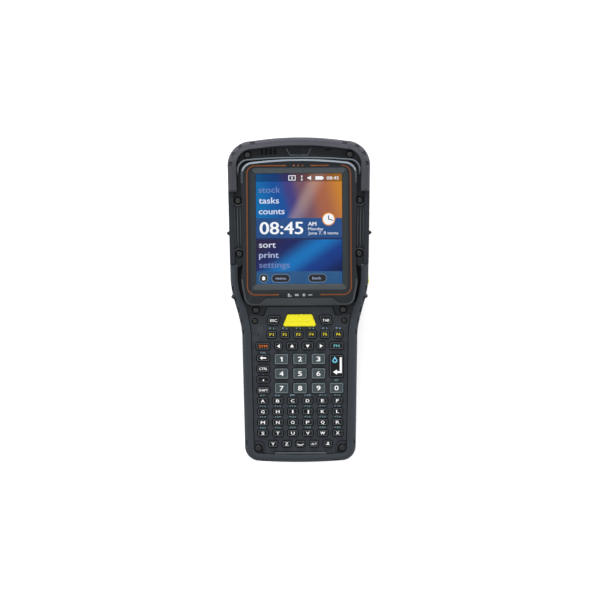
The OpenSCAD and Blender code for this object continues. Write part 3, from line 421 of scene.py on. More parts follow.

# ---- Scanner pod
# A pale grey end cap closes the head round the scan window; its grey is lifted as painted light
# where the rubber shades it. Its face is bowed, its edges are broken, and a dark red filter glass stands in a sloped
# frame.
POD_HALF_WIDTH, POD_LOW, POD_HIGH, POD_RADIUS = 30.0, 1.0, 25.8, 3.0
POD_START, POD_END, POD_BOW, POD_BOW_HALF = 96.5, 112.0, 1.5, 25.0
WINDOW_WIDTH, WINDOW_TALL, WINDOW_RADIUS, WINDOW_Z, WINDOW_SEAT = 44.0, 15.0, 1.8, 13.4, 109.4


def pod_ring(width, tall, radius, middle, back):
    """An outline in X and Z round a middle height, laid at a depth behind the end face, which is bowed by
    bow (x / half)^2."""
    ring = rounded_polygon(box_corners(0, middle, width, tall), radius, 0.0, 14)
    return np.column_stack([ring[:, 0], POD_END - POD_BOW * (ring[:, 0] / POD_BOW_HALF)**2 - back, ring[:, 1]])


pod_rings = [pod_ring(2 * (POD_HALF_WIDTH - inset), POD_HIGH - POD_LOW - 2 * inset, POD_RADIUS,
                      (POD_LOW + POD_HIGH) / 2, back)
             for inset, back in ((0, 12), (0, 4), (0, 2.4), (0.15, 1.8), (1.5, 0.35), (2.0, 0.08), (2.6, 0))]
pod_rings += [pod_ring(WINDOW_WIDTH + 2 * grow, WINDOW_TALL + 2 * grow, WINDOW_RADIUS, WINDOW_Z, back)
              for grow, back in ((1.3, 0.0), (1.0, 0.1), (0.1, 0.7), (0.0, 0.9), (0.0, 0.9))]
pod_rings[0][:, 1] = POD_START
pod_rings[-1][:, 1] = WINDOW_SEAT
pod_plastic = moulded("pod_plastic", (104, 104, 111), (142, 142, 149), 0.5)
add_piece("scanner_pod_cap", skin(pod_rings, capped=False), [pod_plastic], ["scanner_pod"])

scan_glass, tree, shader = new_material("scan_glass")
feed(shader, {"Roughness": 0.04, "Coat Weight": 0.8, "Coat Roughness": 0.03,
              "Base Color": drifting(tree, srgb(66, 10, 16), 0.5, 60.0)})
finish(scan_glass, "scanner_window")

# ---- Display
# A lit colour display under a clear touch panel. The picture is a plain blend of colours;
# the clock, words and buttons are a generic interface drawn on it.
LCD_LEFT, LCD_RIGHT, LCD_LOW, LCD_TOP, LCD_FACE = -29.5, 29.5, 10.8, 86.5, 39.62
STATUS_LOW, CLOCK_TOP, CLOCK_LOW, MENU_LOW = 81.1, 56.0, 42.3, 19.4
THIN, CAPITAL_SHARE, BOLD_STEP = 0.03, 0.69, 0.003
lcd_glow, lcd, lcd_shader = new_material("lcd_glow")
lcd_axes = lcd.nodes.new("ShaderNodeSeparateXYZ")
feed(lcd_axes.inputs, {0: add_node(lcd, "TexCoord", output="Object")})
lcd_x, lcd_y = lcd_axes.outputs["X"], lcd_axes.outputs["Y"]


def blend(across, up, shift, stops):
    """Colours at places from 0 to 1 along a slanted line: across x + up y + shift, in metres. The stops are
    linear greys, or red, green and blue of 0 to 255."""
    ramp = lcd.nodes.new("ShaderNodeValToRGB")
    ramp.color_ramp.interpolation = "EASE"
    elements = ramp.color_ramp.elements
    while len(elements) < len(stops):
        elements.new(0.5)
    for element, (spot, *colour) in zip(elements, stops):
        element.position = spot
        element.color = srgb(*colour) if len(colour) == 3 else (*colour * 3, 1)
    feed(ramp.inputs, {"Fac": calc(lcd, "MULTIPLY_ADD", lcd_y, up, calc(lcd, "MULTIPLY_ADD", lcd_x, across, shift))})
    return ramp.outputs["Color"]


warm = blend(15.0, 4.0, 0.20, [(0.05, 10, 112, 180), (0.28, 22, 84, 162), (0.40, 70, 66, 134), (0.54, 126, 90, 104),
                               (0.72, 174, 104, 76), (0.97, 214, 138, 46)])
cool = blend(12.0, -17.0, 0.98, [(0.02, 46, 40, 76), (0.25, 34, 42, 98), (0.5, 24, 118, 192), (0.72, 24, 62, 138),
                                 (0.98, 18, 34, 84)])
streak = blend(30.0, -16.0, 1.49, [(0.28, 0.0), (0.5, 0.34), (0.8, 0.0)])
above_clock = calc(lcd, "GREATER_THAN", lcd_y, CLOCK_LOW * MM)
in_status = calc(lcd, "GREATER_THAN", lcd_y, STATUS_LOW * MM)
picture = mix_colours(lcd, calc(lcd, "MULTIPLY", streak, above_clock), mix_colours(lcd, above_clock, cool, warm),
                      srgb(214, 186, 176))
light = add_node(lcd, "VectorMath", {0: picture, "Scale": remap(lcd, in_status, 1.0, 0.52)}, operation="SCALE")
feed(lcd_shader, {"Base Color": (0.01, 0.01, 0.012, 1), "Roughness": 0.4, "Emission Strength": 0.86,
                  "Emission Color": light})
finish(lcd_glow, "lcd_module")

panel_glass, tree, shader = new_material("panel_glass")
smears = add_node(tree, "Group", {"Scale": 45.0}, node_tree=spark_grain)
feed(shader, {"Transmission Weight": 1.0, "IOR": 1.3, "Specular IOR Level": 0.25,
              "Base Color": drifting(tree, (0.97, 0.98, 1.0, 1), 0.02, 50.0),
              "Roughness": remap(tree, smears, 0.0, 0.05)})
finish(panel_glass, "touch_panel")


def glowing(name, colour, drift):
    """A lit area of the display, with a slight drift of its light."""
    material, tree, shader = new_material(name)
    feed(shader, {"Base Color": (0.01, 0.01, 0.01, 1), "Specular IOR Level": 0.0, "Emission Strength": 1.0,
                  "Emission Color": drifting(tree, srgb(*colour), drift, 40.0)})
    return material


def plate(corners, radius, level, tone=0, thick=THIN):
    """A thin plate over a convex outline, with its top at the level."""
    return toned(stacked(corners, radius, [(0, level - thick), (0, level)]), tone)


def disc_corners(x, y, radius, count=24):
    """Corners of a regular polygon that stands for a disc, anticlockwise."""
    return [x, y] + radius * circle(full_turn(count))


def line_of_text(words, size, x, y, level, wide, tone, bold=0.0, centred=True):
    """Letters as thin solid shapes with their tops at the level. Size is the height of a capital, and the whole
    line is stretched to its width. Bold letters are laid three times, each moved and a hair higher."""
    data = bpy.data.curves.new(words, "FONT")
    data.body = words
    data.size = size / CAPITAL_SHARE
    data.extrude = THIN / 2
    data.resolution_u = 3
    letters = bpy.data.objects.new(words, data)
    scene.collection.objects.link(letters)
    bpy.context.view_layer.update()
    mesh = letters.to_mesh()
    points = np.empty(len(mesh.vertices) * 3)
    mesh.vertices.foreach_get("co", points)
    points = points.reshape(-1, 3)
    left, right = points[:, 0].min(), points[:, 0].max()
    points[:, 0] = x - (wide / 2 if centred else 0) + (points[:, 0] - left) * wide / (right - left)
    points[:, 1:] += [y - size / 2, level - THIN / 2]
    faces = [list(face.vertices) for face in mesh.polygons]
    letters.to_mesh_clear()
    bpy.data.objects.remove(letters)
    bpy.data.curves.remove(data)
    copies = [(-bold * size, 0), (bold * size, 0), (0, bold * size / 2)] if bold else [(0, 0)]
    return together([(points + [dx, dy, BOLD_STEP * k], faces, [tone] * len(faces))
                     for k, (dx, dy) in enumerate(copies)])


FIRST, SECOND, THIRD = LCD_FACE + 0.04, LCD_FACE + 0.08, LCD_FACE + 0.12
ui = {name: glowing("ui_" + name, colour, drift) for name, colour, drift in (
    ("white", (244, 247, 250), 0.1), ("soft", (176, 190, 222), 0.1), ("faint", (112, 130, 182), 0.1),
    ("pale", (222, 228, 242), 0.1), ("band", (26, 74, 132), 0.5), ("dark", (20, 36, 84), 0.4),
    ("bar", (34, 84, 132), 0.5), ("rim", (112, 128, 148), 0.1), ("black", (30, 32, 38), 0.5),
    ("amber", (232, 150, 48), 0.1))}
bands = [plate(bar_corners(LCD_LEFT, LCD_RIGHT, low, high), 0.1, FIRST, tone) for low, high, tone in (
    (CLOCK_LOW, CLOCK_TOP, 0), (CLOCK_LOW - 1.1, CLOCK_LOW, 1), (LCD_LOW, MENU_LOW, 2))]
for left, right in ((-19.2, -6.4), (6.0, 18.8)):
    bands += [plate(bar_corners(left, right, 11.7, 17.6), 2.9, SECOND, 3),
              plate(bar_corners(left + 0.4, right - 0.4, 12.1, 17.2), 2.5, SECOND + 0.01, 4)]
add_piece("screen_bands", together(bands), [ui[name] for name in ("band", "dark", "bar", "rim", "black")])

WORD_LEFT, NOTE_LEFT = -27.6, 6.2
words = [line_of_text(text, size, x, y, SECOND, wide, tone, bold, centred=False)
         for text, size, x, y, wide, tone, bold in (
             ("08:45", 8.3, -27.0, 49.2, 29.6, 0, 0.03), ("08:45", 2.2, 19.2, 83.5, 8.2, 0, 0.02),
             ("AM", 2.6, NOTE_LEFT, 52.0, 5.6, 0, 0.03), ("Monday", 2.0, NOTE_LEFT, 48.6, 10.4, 0, 0.0),
             ("June 7, 8 items", 2.0, NOTE_LEFT, 45.7, 20.6, 0, 0.0))]
words += [line_of_text(text, 4.1, WORD_LEFT, y, SECOND, wide, tone, 0.02, centred=False)
          for text, y, wide, tone in (("stock", 75.6, 14.8, 2), ("tasks", 68.2, 13.8, 3), ("counts", 60.8, 17.6, 3),
                                      ("sort", 37.8, 11.4, 3), ("print", 30.8, 13.4, 1), ("settings", 24.0, 21.0, 2))]
words += [line_of_text("menu", 1.8, -12.8, 14.7, THIRD, 7.0, 1), line_of_text("back", 1.8, 12.0, 14.7, THIRD, 6.0, 1)]
add_piece("screen_words", together(words), [ui[name] for name in ("white", "soft", "faint", "pale")])

CLOCK_X, CLOCK_Y, CLOCK_RADIUS, HOME_X, HOME_Y = 20.3, 55.2, 4.5, -24.6, 14.7
MINUTE_TURN = np.array([[-0.3, -0.95], [0.95, -0.3]])
minute_hand = np.array(bar_corners(-0.3, 0.3, -0.4, 3.3)) @ MINUTE_TURN + [CLOCK_X, CLOCK_Y]
icons = [
    plate(disc_corners(CLOCK_X, CLOCK_Y, CLOCK_RADIUS), 0.2, SECOND, 1),
    plate(disc_corners(CLOCK_X, CLOCK_Y, CLOCK_RADIUS - 0.7), 0.2, SECOND + 0.02, 0),
    plate(bar_corners(CLOCK_X - 0.35, CLOCK_X + 0.35, CLOCK_Y - 0.4, CLOCK_Y + 2.5), 0.1, SECOND + 0.04, 2),
    plate(minute_hand, 0.1, SECOND + 0.05, 2),
    plate(disc_corners(HOME_X, HOME_Y, 3.1), 0.2, SECOND, 3),
    plate(disc_corners(HOME_X, HOME_Y, 2.7), 0.2, SECOND + 0.01, 4),
    plate(bar_corners(HOME_X - 1, HOME_X + 1, HOME_Y - 1.3, HOME_Y + 0.1), 0.1, SECOND + 0.02),
    plate([(HOME_X - 1.5, HOME_Y + 0.1), (HOME_X + 1.5, HOME_Y + 0.1), (HOME_X, HOME_Y + 1.6)], 0.1, SECOND + 0.02),
    plate(bar_corners(11.4, 16.4, 82.3, 84.7), 0.4, SECOND),
    plate([(7.0, 83.0), (8.4, 82.0), (8.4, 85.2), (7.0, 84.2)], 0.1, SECOND)]
icons += [plate(bar_corners(*edges), 0.1, SECOND) for edges in (
    (16.4, 17.0, 82.9, 84.1), (-7.2, -2.2, 84.9, 85.4), (-7.2, -2.2, 81.9, 82.4), (-7.2, -6.7, 82.4, 84.9),
    (-2.7, -2.2, 82.4, 84.9), (-5.1, -4.3, 82.9, 84.4), (1.6, 2.4, 84.3, 85.3), (1.8, 2.2, 83.0, 84.2),
    (1.5, 2.5, 81.9, 82.7), (6.0, 7.0, 83.0, 84.2))]
add_piece("screen_icons", together(icons), [ui[name] for name in ("white", "amber", "dark", "rim", "black")])

# ---- Bezel pan
# The flat part of the front moulding round the raised platform. It holds the screw wells,
# the speaker slots, the sensor window, a small slot for the microphone, ridges and arcs.
PAN = 39.0
CHIN_Y, WING_Y, CHIN_HALF, WING_HALF = -4.6, -10.8, 22.8, 25.2
HEAD_HALF, HEAD_MIDDLE, GRIP_HALF, GRIP_MIDDLE, TAPER = 49.0, 90.0, 39.0, -58.3, 0.02
NECK, NECK_LENGTH = -5.2, 40.0
TOP, TOP_RADIUS, TOP_BOW = 111.85, 16.5, 2.5
END, END_RADIUS, END_BOW = -112.0, 10.0, 1.0
SIDE_LOW, SIDE_HIGH = END + END_BOW + END_RADIUS, TOP - TOP_BOW - TOP_RADIUS
LIP, LIP_AT_TOP, LIP_AT_END = 6.1, 5.95, 5.0
BEZEL_SCREWS = [(35.27, 99.7), (41.86, 68.2), (41.13, 31.6), (30.0, -7.0)]
WELL_RADIUS, WELL_DEPTH = 2.9, 1.2
PAN_INSET, PLATFORM_INSET, LOW_GAIN, GAIN_FROM, GAIN_OVER, DENT_DEPTH, DENT_REACH = 3.75, 8.9, 1.3, 26, 14, 0.45, 2.8
SPEAKER_X, SPEAKER_Y, SLOT_PITCH, SENSOR_DEPTH = -20.8, 101.8, 3.0, 0.3
GROOVE_TOP, GROOVE_LOW, GROOVE_INSET, GROOVE_RUNOUT, GROOVE_DEPTH = 23.6, -1.5, 4.7, 3.5, 2.2
FLANK_TOP, FLANK_LOW, ARC_RADIUS, ARC_SWEEP = 63.8, 36.0, 3.35, 130


def smooth_step(t):
    """0 below 0, 1 above 1, and 3t^2 - 2t^3 between."""
    t = np.clip(t, 0, 1)
    return t * t * (3 - 2 * t)


def half_width(y):
    """Half the width of the body at y: the tapering grip and head, joined by a smooth step over the neck."""
    head = smooth_step((y - NECK) / NECK_LENGTH + 0.5)
    return (1 - head) * (GRIP_HALF + TAPER * (y - GRIP_MIDDLE)) + head * (HEAD_HALF + TAPER * (y - HEAD_MIDDLE))


def lengths_along(path):
    """Lengths from the start of a path to each of its points."""
    return np.concatenate([[0], np.cumsum(np.hypot(*np.diff(path, axis=0).T))])


def body_outline():
    """The outer edge from the middle of the lower end, up the right side, to the middle of the top:
    a parabola, a quarter circle, the side, a quarter circle and a parabola, with their lengths."""
    low = np.array([half_width(SIDE_LOW) - END_RADIUS, SIDE_LOW])
    high = np.array([half_width(SIDE_HIGH) - TOP_RADIUS, SIDE_HIGH])
    t = np.linspace(0, 1, 300)
    y = np.linspace(SIDE_LOW, SIDE_HIGH, 2000)
    points = np.vstack([
        np.column_stack([low[0] * t, END + END_BOW * t**2]),
        low + END_RADIUS * circle((t - 1) * math.pi / 2),
        np.column_stack([half_width(y), y]),
        high + TOP_RADIUS * circle(t * math.pi / 2),
        np.column_stack([high[0] * (1 - t), TOP - TOP_BOW * (1 - t)**2])])
    points = points[np.hypot(*np.diff(points, axis=0, prepend=points[:1] - 1).T) > 1e-6]
    return points, lengths_along(points)


EDGE, EDGE_RUN = body_outline()
TOTAL_RUN = EDGE_RUN[-1]


def on_edge(run):
    """Points of the outer edge at these lengths along it, and the outward directions there.
    Negative lengths, and those past the top, are on the left side."""
    run = np.asarray(run, float)
    sign = np.where((run < 0) | (run > TOTAL_RUN), -1, 1)
    inside = np.where(run < 0, -run, np.where(run > TOTAL_RUN, 2 * TOTAL_RUN - run, run))
    x, y, before_x, before_y, after_x, after_y = (
        np.interp(inside + step, EDGE_RUN, EDGE[:, k]) for step in (0, -0.05, 0.05) for k in (0, 1))
    dx, dy = after_x - before_x, after_y - before_y
    length = np.hypot(dx, dy)
    return np.column_stack([sign * x, y]), np.column_stack([sign * dy / length, -dx / length])


def run_at_y(y):
    """Length along the outer edge, from the middle of the lower end, to height y on the right side."""
    side = (EDGE[:, 1] >= SIDE_LOW) & (EDGE[:, 1] <= SIDE_HIGH)
    return np.interp(y, EDGE[side, 1], EDGE_RUN[side])


def platform_side(y):
    """The platform's right edge: the half width less an inset, which is smaller beside the lower rubber, less a
    dent at each side screw, exp(-(distance / reach)^2) deep."""
    dents = sum(np.exp(-((y - screw_y) / DENT_REACH)**2) for _, screw_y in BEZEL_SCREWS[1:3])
    return half_width(y) - PLATFORM_INSET + LOW_GAIN * smooth_step((GAIN_FROM - y) / GAIN_OVER) - DENT_DEPTH * dents


def crosses(points, ring):
    """For each point, whether it is inside a closed outline: the number of sides that pass on its right is odd."""
    start, stop = ring, np.roll(ring, -1, 0)
    x, y = points[:, :1], points[:, 1:2]
    spans = (start[:, 1] > y) != (stop[:, 1] > y)
    rise = np.where(np.abs(stop[:, 1] - start[:, 1]) < 1e-12, 1e-12, stop[:, 1] - start[:, 1])
    at = start[:, 0] + (y - start[:, 1]) * (stop[:, 0] - start[:, 0]) / rise
    return np.sum(spans & (at > x), axis=1) % 2 == 1


def sheet(outer, holes, level, tone=0):
    """A flat sheet at one level between an outer outline and holes: the Delaunay triangles whose middles
    are inside the one and outside the others."""
    rings = [np.asarray(ring, float) for ring in (outer, *holes)]
    edges, start = [], 0
    for ring in rings:
        index = np.arange(start, start + len(ring))
        edges += np.column_stack([index, np.roll(index, -1)]).tolist()
        start += len(ring)
    found = delaunay_2d_cdt(np.vstack(rings).tolist(), edges, [], 0, 1e-7)
    flat = np.array([list(point) for point in found[0]])
    faces = np.array([face for face in found[2]])
    middle = flat[faces].mean(1)
    keep = crosses(middle, rings[0])
    for ring in rings[1:]:
        keep &= ~crosses(middle, ring)
    return at_level(flat, level), faces[keep].tolist(), [tone] * int(keep.sum())


def moved_in(ring, inset):
    """A closed outline whose points move in along the mean of the outward directions of their two sides."""
    out = right_of(np.roll(ring, -1, 0) - ring)
    out = out + np.roll(out, 1, 0)
    return ring - out / np.hypot(*out.T)[:, None] * inset


def pocket(ring, profile, tones, floor=True):
    """Walls that go down from a hole's outline. Profile rows are (inset, level), tones number the bands, and the
    last ring gets a floor."""
    ring = np.asarray(ring, float)
    rings = [at_level(moved_in(ring, inset), level) for inset, level in profile]
    points, faces, _ = skin(rings, capped=False)
    bands = np.repeat(tones[:len(rings) - 1], len(ring)).tolist()
    if floor:
        last = np.arange(len(points) - len(ring), len(points))
        faces += np.column_stack([last, np.roll(last, -1), np.full(len(ring), len(points))]).tolist()
        points = np.vstack([points, rings[-1].mean(0)])
        bands += [tones[-1]] * len(ring)
    return points, faces, bands


def broken_edge(top, depth):
    """Profile of a hole with a slightly rounded edge."""
    return [(0, top), (0.10, top - 0.04), (0.16, top - 0.14), (0.16, top - depth)]


def both_sides(corners):
    """The same outline at the left and the right, each anticlockwise."""
    corners = np.asarray(corners, float)
    return [corners, corners[::-1] * [-1, 1]]


def at_both(places):
    """Places at the right and the left."""
    return [(side * x, y) for x, y in places for side in (1, -1)]


def bead(path, out, reach, height, around, side):
    """A raised line on the pan, an ellipse at each point of its path, as full as sqrt(1 - t^4) for t from -1 to 1
    along it."""
    swell = np.sqrt(np.clip(1 - np.linspace(-1, 1, len(path))**4, 0.02, 1))[:, None]
    turn = full_turn(around)
    rings = np.empty((len(path), around, 3))
    rings[..., :2] = (path[:, None] + out[:, None] * (reach * swell * np.cos(turn))[..., None]) * [side, 1]
    rings[..., 2] = PAN + height * swell * np.sin(turn)
    return toned(skin(rings), 4)


points, outward = on_edge(np.linspace(run_at_y(WING_Y), TOTAL_RUN, 420))
right_edge = points - PAN_INSET * outward
pan_outline = np.vstack([[(WING_HALF, WING_Y)], right_edge, right_edge[-2::-1] * [-1, 1],
                         [(-WING_HALF, WING_Y), (-CHIN_HALF, CHIN_Y), (CHIN_HALF, CHIN_Y)]])
pan_wells = [disc_corners(x, y, WELL_RADIUS, 28) for x, y in at_both(BEZEL_SCREWS)]
slots = [rounded_polygon(box_corners(SPEAKER_X + SLOT_PITCH * n, SPEAKER_Y, 1.9, 4.2), 0.5, 0, 5)
         for n in (-1.5, -0.5, 0.5, 1.5)]
slots.append(rounded_polygon(box_corners(20.2, 103.0, 4.4, 1.1), 0.5, 0, 5))
sensor_corners = [(-6.3, 99.2), (6.3, 99.2), (8.8, 104.2), (-8.8, 104.2)]
sensor_window = rounded_polygon(sensor_corners, 0.3, 0, 4)
# A groove is cut down each side of the platform and lined in near-black, painted shade for the dark gap beside the
# rubber.
groove_y = np.linspace(GROOVE_TOP, GROOVE_LOW, 40)
groove_inner = platform_side(groove_y) + 0.2
opened = smooth_step((GROOVE_TOP + 1 - groove_y) / GROOVE_RUNOUT)
groove_outer = groove_inner + (half_width(groove_y) - GROOVE_INSET - groove_inner) * opened
grooves = both_sides(np.vstack([np.column_stack([groove_outer, groove_y])[::-1],
                                np.column_stack([groove_inner, groove_y])]))
pan = [sheet(pan_outline, pan_wells + slots + grooves + [sensor_window], PAN),
       pocket(pan_outline, [(0, PAN), (-0.08, PAN - 0.08), (-0.1, PAN - 0.9)], [0, 2], floor=False),
       plate(sensor_corners, 0.3, PAN - SENSOR_DEPTH),
       plate(disc_corners(0, 101.8, 0.6), 0.1, PAN - 0.27, 2)]
points, faces, _ = pocket(sensor_window, [(0, PAN), (0.12, PAN - 0.05), (0.5, PAN - SENSOR_DEPTH)], [3, 3], floor=False)
pan.append((points, faces, np.where(points[np.array(faces)].mean(1)[:, 1] > 103.5, 0, 3).tolist()))
for groove in grooves:
    pan += [pocket(groove, [(0, PAN), (0.01, PAN - GROOVE_DEPTH)], [2, 2], floor=False),
            sheet(groove, [], PAN - GROOVE_DEPTH, 2)]
pan += [pocket(well, broken_edge(PAN, WELL_DEPTH), [2, 2, 2, 2]) for well in pan_wells]
pan += [pocket(slot, broken_edge(PAN, 0.8), [0, 2, 2, 2]) for slot in slots]
# The ridges and arcs are drawn in a pale grey, a painted highlight along their crests.
for side in (1, -1):
    y = np.linspace(FLANK_LOW, FLANK_TOP, 40)
    for x, reach in ((44.2, 0.38), (42.2, 0.42), (40.2, 0.38)):
        path = np.column_stack([half_width(y) - half_width(50.0) + x, y])
        pan.append(bead(path, np.tile([1.0, 0.0], (40, 1)), reach, 0.42, 10, side))
    for screw, start in ((BEZEL_SCREWS[1], 205), (BEZEL_SCREWS[2], 25)):
        out = circle(np.radians(np.linspace(start, start + ARC_SWEEP, 30)))
        pan.append(bead(screw + ARC_RADIUS * out, out, 0.3, 0.35, 8, side))
pan_plastic = moulded("pan_plastic", (33, 37, 40), (70, 76, 82), 0.5, drift=0.1, rub=0.2, specular=0.2)
# A paler grey for the platform's outer edge, a painted highlight.
bezel_edge_highlight = moulded("bezel_edge_highlight", (62, 67, 71), (116, 122, 128), 0.4, drift=0.1, rub=0.4)
# Near-black is painted shade in the wells, slots, grooves and the gaps round the pan.
painted_shade_hole = moulded("painted_shade_hole", (14, 15, 17), (26, 27, 30), 0.7)
sensor_line = moulded("sensor_line", (96, 102, 108), (120, 126, 132), 0.4)
pale_bevel_grey_and_highlight = moulded("pale_bevel_grey_and_highlight", (72, 79, 83), (110, 116, 120), 0.38, drift=0.12, rub=0.3)
add_piece("bezel_pan", together(pan), [pan_plastic, bezel_edge_highlight, painted_shade_hole, sensor_line, pale_bevel_grey_and_highlight],
          ["display_bezel"])

# ---- Raised platform
# The platform stands round the display. A double ridge runs over its top end, its lower end
# slopes down to the keypad as a chin, and a bevel leads down to the glass.
PLATFORM_TOP, PLATFORM_LOW, PLATFORM_BOW, BEZEL_TOP = 96.5, -4.0, 1.8, 43.4
CORNER_TOP, CORNER_LOW, RISE_FROM, RISE_OVER, CHIN_REACH, CHIN_BLEND = 8.6, 6.5, 78, 9, 28.0, 6.0
SIDE_POINTS, CORNER_POINTS = 70, 22
RIDGE_TOP, RIDGE_SIDE, RIDGE_RADIUS, RIDGE_END, RIDGE_BOW, RIDGE_TALL = 97.4, 41.9, 7.0, 85.5, 1.4, 3.1


def right_half(low, low_radius, high, high_radius, side_at, low_y, top_y):
    """The right half of a ring, from the middles of its two corners: lower end, corner, side, corner, top."""
    turn = np.linspace(0, math.pi / 2, CORNER_POINTS)
    y = np.linspace(low[1], high[1], 2 * SIDE_POINTS)
    across = np.linspace(0, 1, SIDE_POINTS)
    return np.vstack([
        np.column_stack([low[0] * across, low_y + 0 * across])[:-1],
        low + low_radius * circle(turn - math.pi / 2),
        np.column_stack([side_at(y), y])[1:-1],
        high + high_radius * circle(turn),
        np.column_stack([high[0] * across[::-1], top_y + 0 * across])[1:]])


def whole_ring(half, level):
    """A closed ring from its right half and the level of each point."""
    right = np.column_stack([half, level])
    return np.vstack([right, right[-2:0:-1] * [-1, 1, 1]])


def platform_ring(inset, level, level_at_top, extra_low, level_at_chin):
    """One closed line round the platform. The middle of its lower end is moved in by extra_low more, and it has
    levels of its own there and at its bowed top."""
    top_radius, low_radius = max(CORNER_TOP - inset, 2.5), max(CORNER_LOW - inset, 2.0)
    top_y, low_y = PLATFORM_TOP - PLATFORM_BOW - inset, PLATFORM_LOW + inset
    high, low = (np.array([platform_side(y) - inset - radius, y])
                 for y, radius in ((top_y - top_radius, top_radius), (low_y + low_radius, low_radius)))
    chin = smooth_step((CHIN_REACH - np.linspace(0, low[0], SIDE_POINTS)) / CHIN_BLEND)
    bow = PLATFORM_BOW * (1 - np.linspace(1, 0, SIDE_POINTS)**2)
    half = right_half(low, low_radius, high, top_radius, lambda y: platform_side(y) - inset,
                      low_y + extra_low * chin, top_y + bow)
    chin = np.concatenate([chin[:-1], np.zeros(len(half) - SIDE_POINTS + 1)])
    level = level + (level_at_top - level) * smooth_step((half[:, 1] - RISE_FROM) / RISE_OVER)
    return whole_ring(half, level * (1 - chin) + level_at_chin * chin)


def window_ring(grow, radius, level):
    """A rounded rectangle round the lit area with as many points as a platform ring, sides and corners matched."""
    right, top, low = LCD_RIGHT + grow, LCD_TOP + grow, LCD_LOW - grow
    half = right_half(np.array([right - radius, low + radius]), radius, np.array([right - radius, top - radius]),
                      radius, lambda y: right + 0 * y, low, top)
    return whole_ring(half, np.full(len(half), level))


# Rows: inset, level, level at the top, extra inset of the chin, level at the chin, and material; then the window's
# rows: grow, radius, level and material.
# The outer wall and shoulder rows take the paler edge grey, a painted highlight.
platform_profile = [
    (0.0, 38.8, 38.8, 0.0, 38.8, 1), (0.0, 42.3, 42.0, 0.0, 39.3, 1), (0.10, 42.8, 42.5, 0.45, 39.8, 1),
    (0.35, 43.15, 42.95, 1.4, 40.8, 1), (0.75, 43.36, 43.45, 2.7, 42.1, 1), (1.15, 43.4, 43.85, 3.8, 43.1, 1),
    (1.45, 43.4, 44.0, 4.0, 43.36, 0), (1.85, 43.4, 43.7, 4.1, 43.4, 0), (2.4, 43.4, 43.4, 4.1, 43.4, 0),
    (2.9, 43.4, 43.4, 4.1, 43.4, 0)]
window_profile = [(4.1, 3.9, 43.4, 0), (4.0, 3.8, 43.36, 2), (3.9, 3.7, 43.2, 2), (0.6, 0.8, 42.7, 2),
                  (0.2, 0.5, 42.3, 3), (0.02, 0.4, 40.72, 3)]
rings = [platform_ring(*row[:5]) for row in platform_profile] + [window_ring(*row[:3]) for row in window_profile]
points, faces, _ = skin(rings, capped=False)
band = np.repeat(np.arange(len(rings) - 1), len(rings[0]))
tones = np.array([row[-1] for row in platform_profile + window_profile])[band]
x, y, _ = points[np.array(faces)].mean(1).T
# The crest is pale over the top end, a painted highlight, and plain along the sides; the bevel to the glass is darker
# at the sides, a painted shade, and its lower part takes the paler edge grey, a painted highlight.
tones[(y > 88.5) & (band >= 2) & (band <= 5)] = 4
tones[(y < 60) & (band == 5)] = 0
tones[(y > 14) & (y < 80) & (band <= 5)] = 0
tones[(tones == 2) & (np.abs(x) - LCD_RIGHT > np.maximum(y - LCD_TOP, LCD_LOW - y))] = 5
tones[(tones == 2) & (y < 40)] = 1
# The crest is a painted highlight. The bevel keeps the surround's own lighter grey, brightened further at its top as a
# painted highlight, and its sides are darker as painted shade.
bezel_plastic = moulded("bezel_plastic", (34, 37, 41), (84, 90, 97), 0.45, drift=0.1, rub=0.3, specular=0.25)
crest_painted_highlight = moulded("crest_painted_highlight", (118, 126, 134), (140, 146, 152), 0.36, drift=0.15, rub=0.3)
bevel_painted_shade = moulded("bezel_bevel_side", (43, 49, 53), (96, 102, 106), 0.38, drift=0.12, rub=0.3)
add_piece("bezel_platform", (points, faces, tones.tolist()),
          [bezel_plastic, bezel_edge_highlight, pale_bevel_grey_and_highlight, painted_shade_hole, crest_painted_highlight, bevel_painted_shade],
          ["display_bezel"])

turn = np.linspace(0, math.pi / 2, 16)
corner = np.array([RIDGE_SIDE - RIDGE_RADIUS, RIDGE_TOP - RIDGE_BOW - RIDGE_RADIUS])
path = np.vstack([
    [(RIDGE_SIDE, y) for y in np.linspace(RIDGE_END, corner[1], 6)][:-1],
    corner + RIDGE_RADIUS * circle(turn),
    [(corner[0] * t, RIDGE_TOP - RIDGE_BOW * t * t) for t in np.linspace(0.95, 0, 20)]])
path = np.vstack([path, path[-2::-1] * [-1, 1]])
out, run = right_of(np.gradient(path, axis=0)), lengths_along(path)
swell = np.sqrt(np.clip(np.minimum(run, run[-1] - run) / 3.0, 0.02, 1))[:, None]
half_section = [(0.75, -3.2), (0.62, -0.9), (0.5, -0.35), (0.25, -0.06), (0, 0)]
section = np.array(half_section + [(-x, z) for x, z in half_section[-2::-1]])
rings = np.empty((len(path), len(section), 3))
rings[..., :2] = path[:, None] + out[:, None] * section[None, :, :1] * swell[..., None]
rings[..., 2] = PAN + (RIDGE_TALL + section[:, 1]) * swell
# The ridge is a paler grey, a painted highlight along it.
outer_ridge_highlight = moulded("outer_ridge_highlight", (100, 107, 113), (130, 136, 142), 0.38, drift=0.2, rub=0.3)
add_piece("bezel_outer_ridge", skin(rings), [outer_ridge_highlight], ["display_bezel"])

# ---- Orange line
# A narrow line printed in a rounded rectangle round the display, with bare gaps, three dots
# in the upper one and five small status marks in the lower one.
LINE_LEFT, LINE_RIGHT, LINE_TOP, LINE_LOW, LINE_RADIUS, LINE_WIDTH = -35.7, 35.5, 91.9, 3.3, 5.4, 0.85
PRINT_LEVEL, STATUS_Y = BEZEL_TOP + 0.03, 3.1


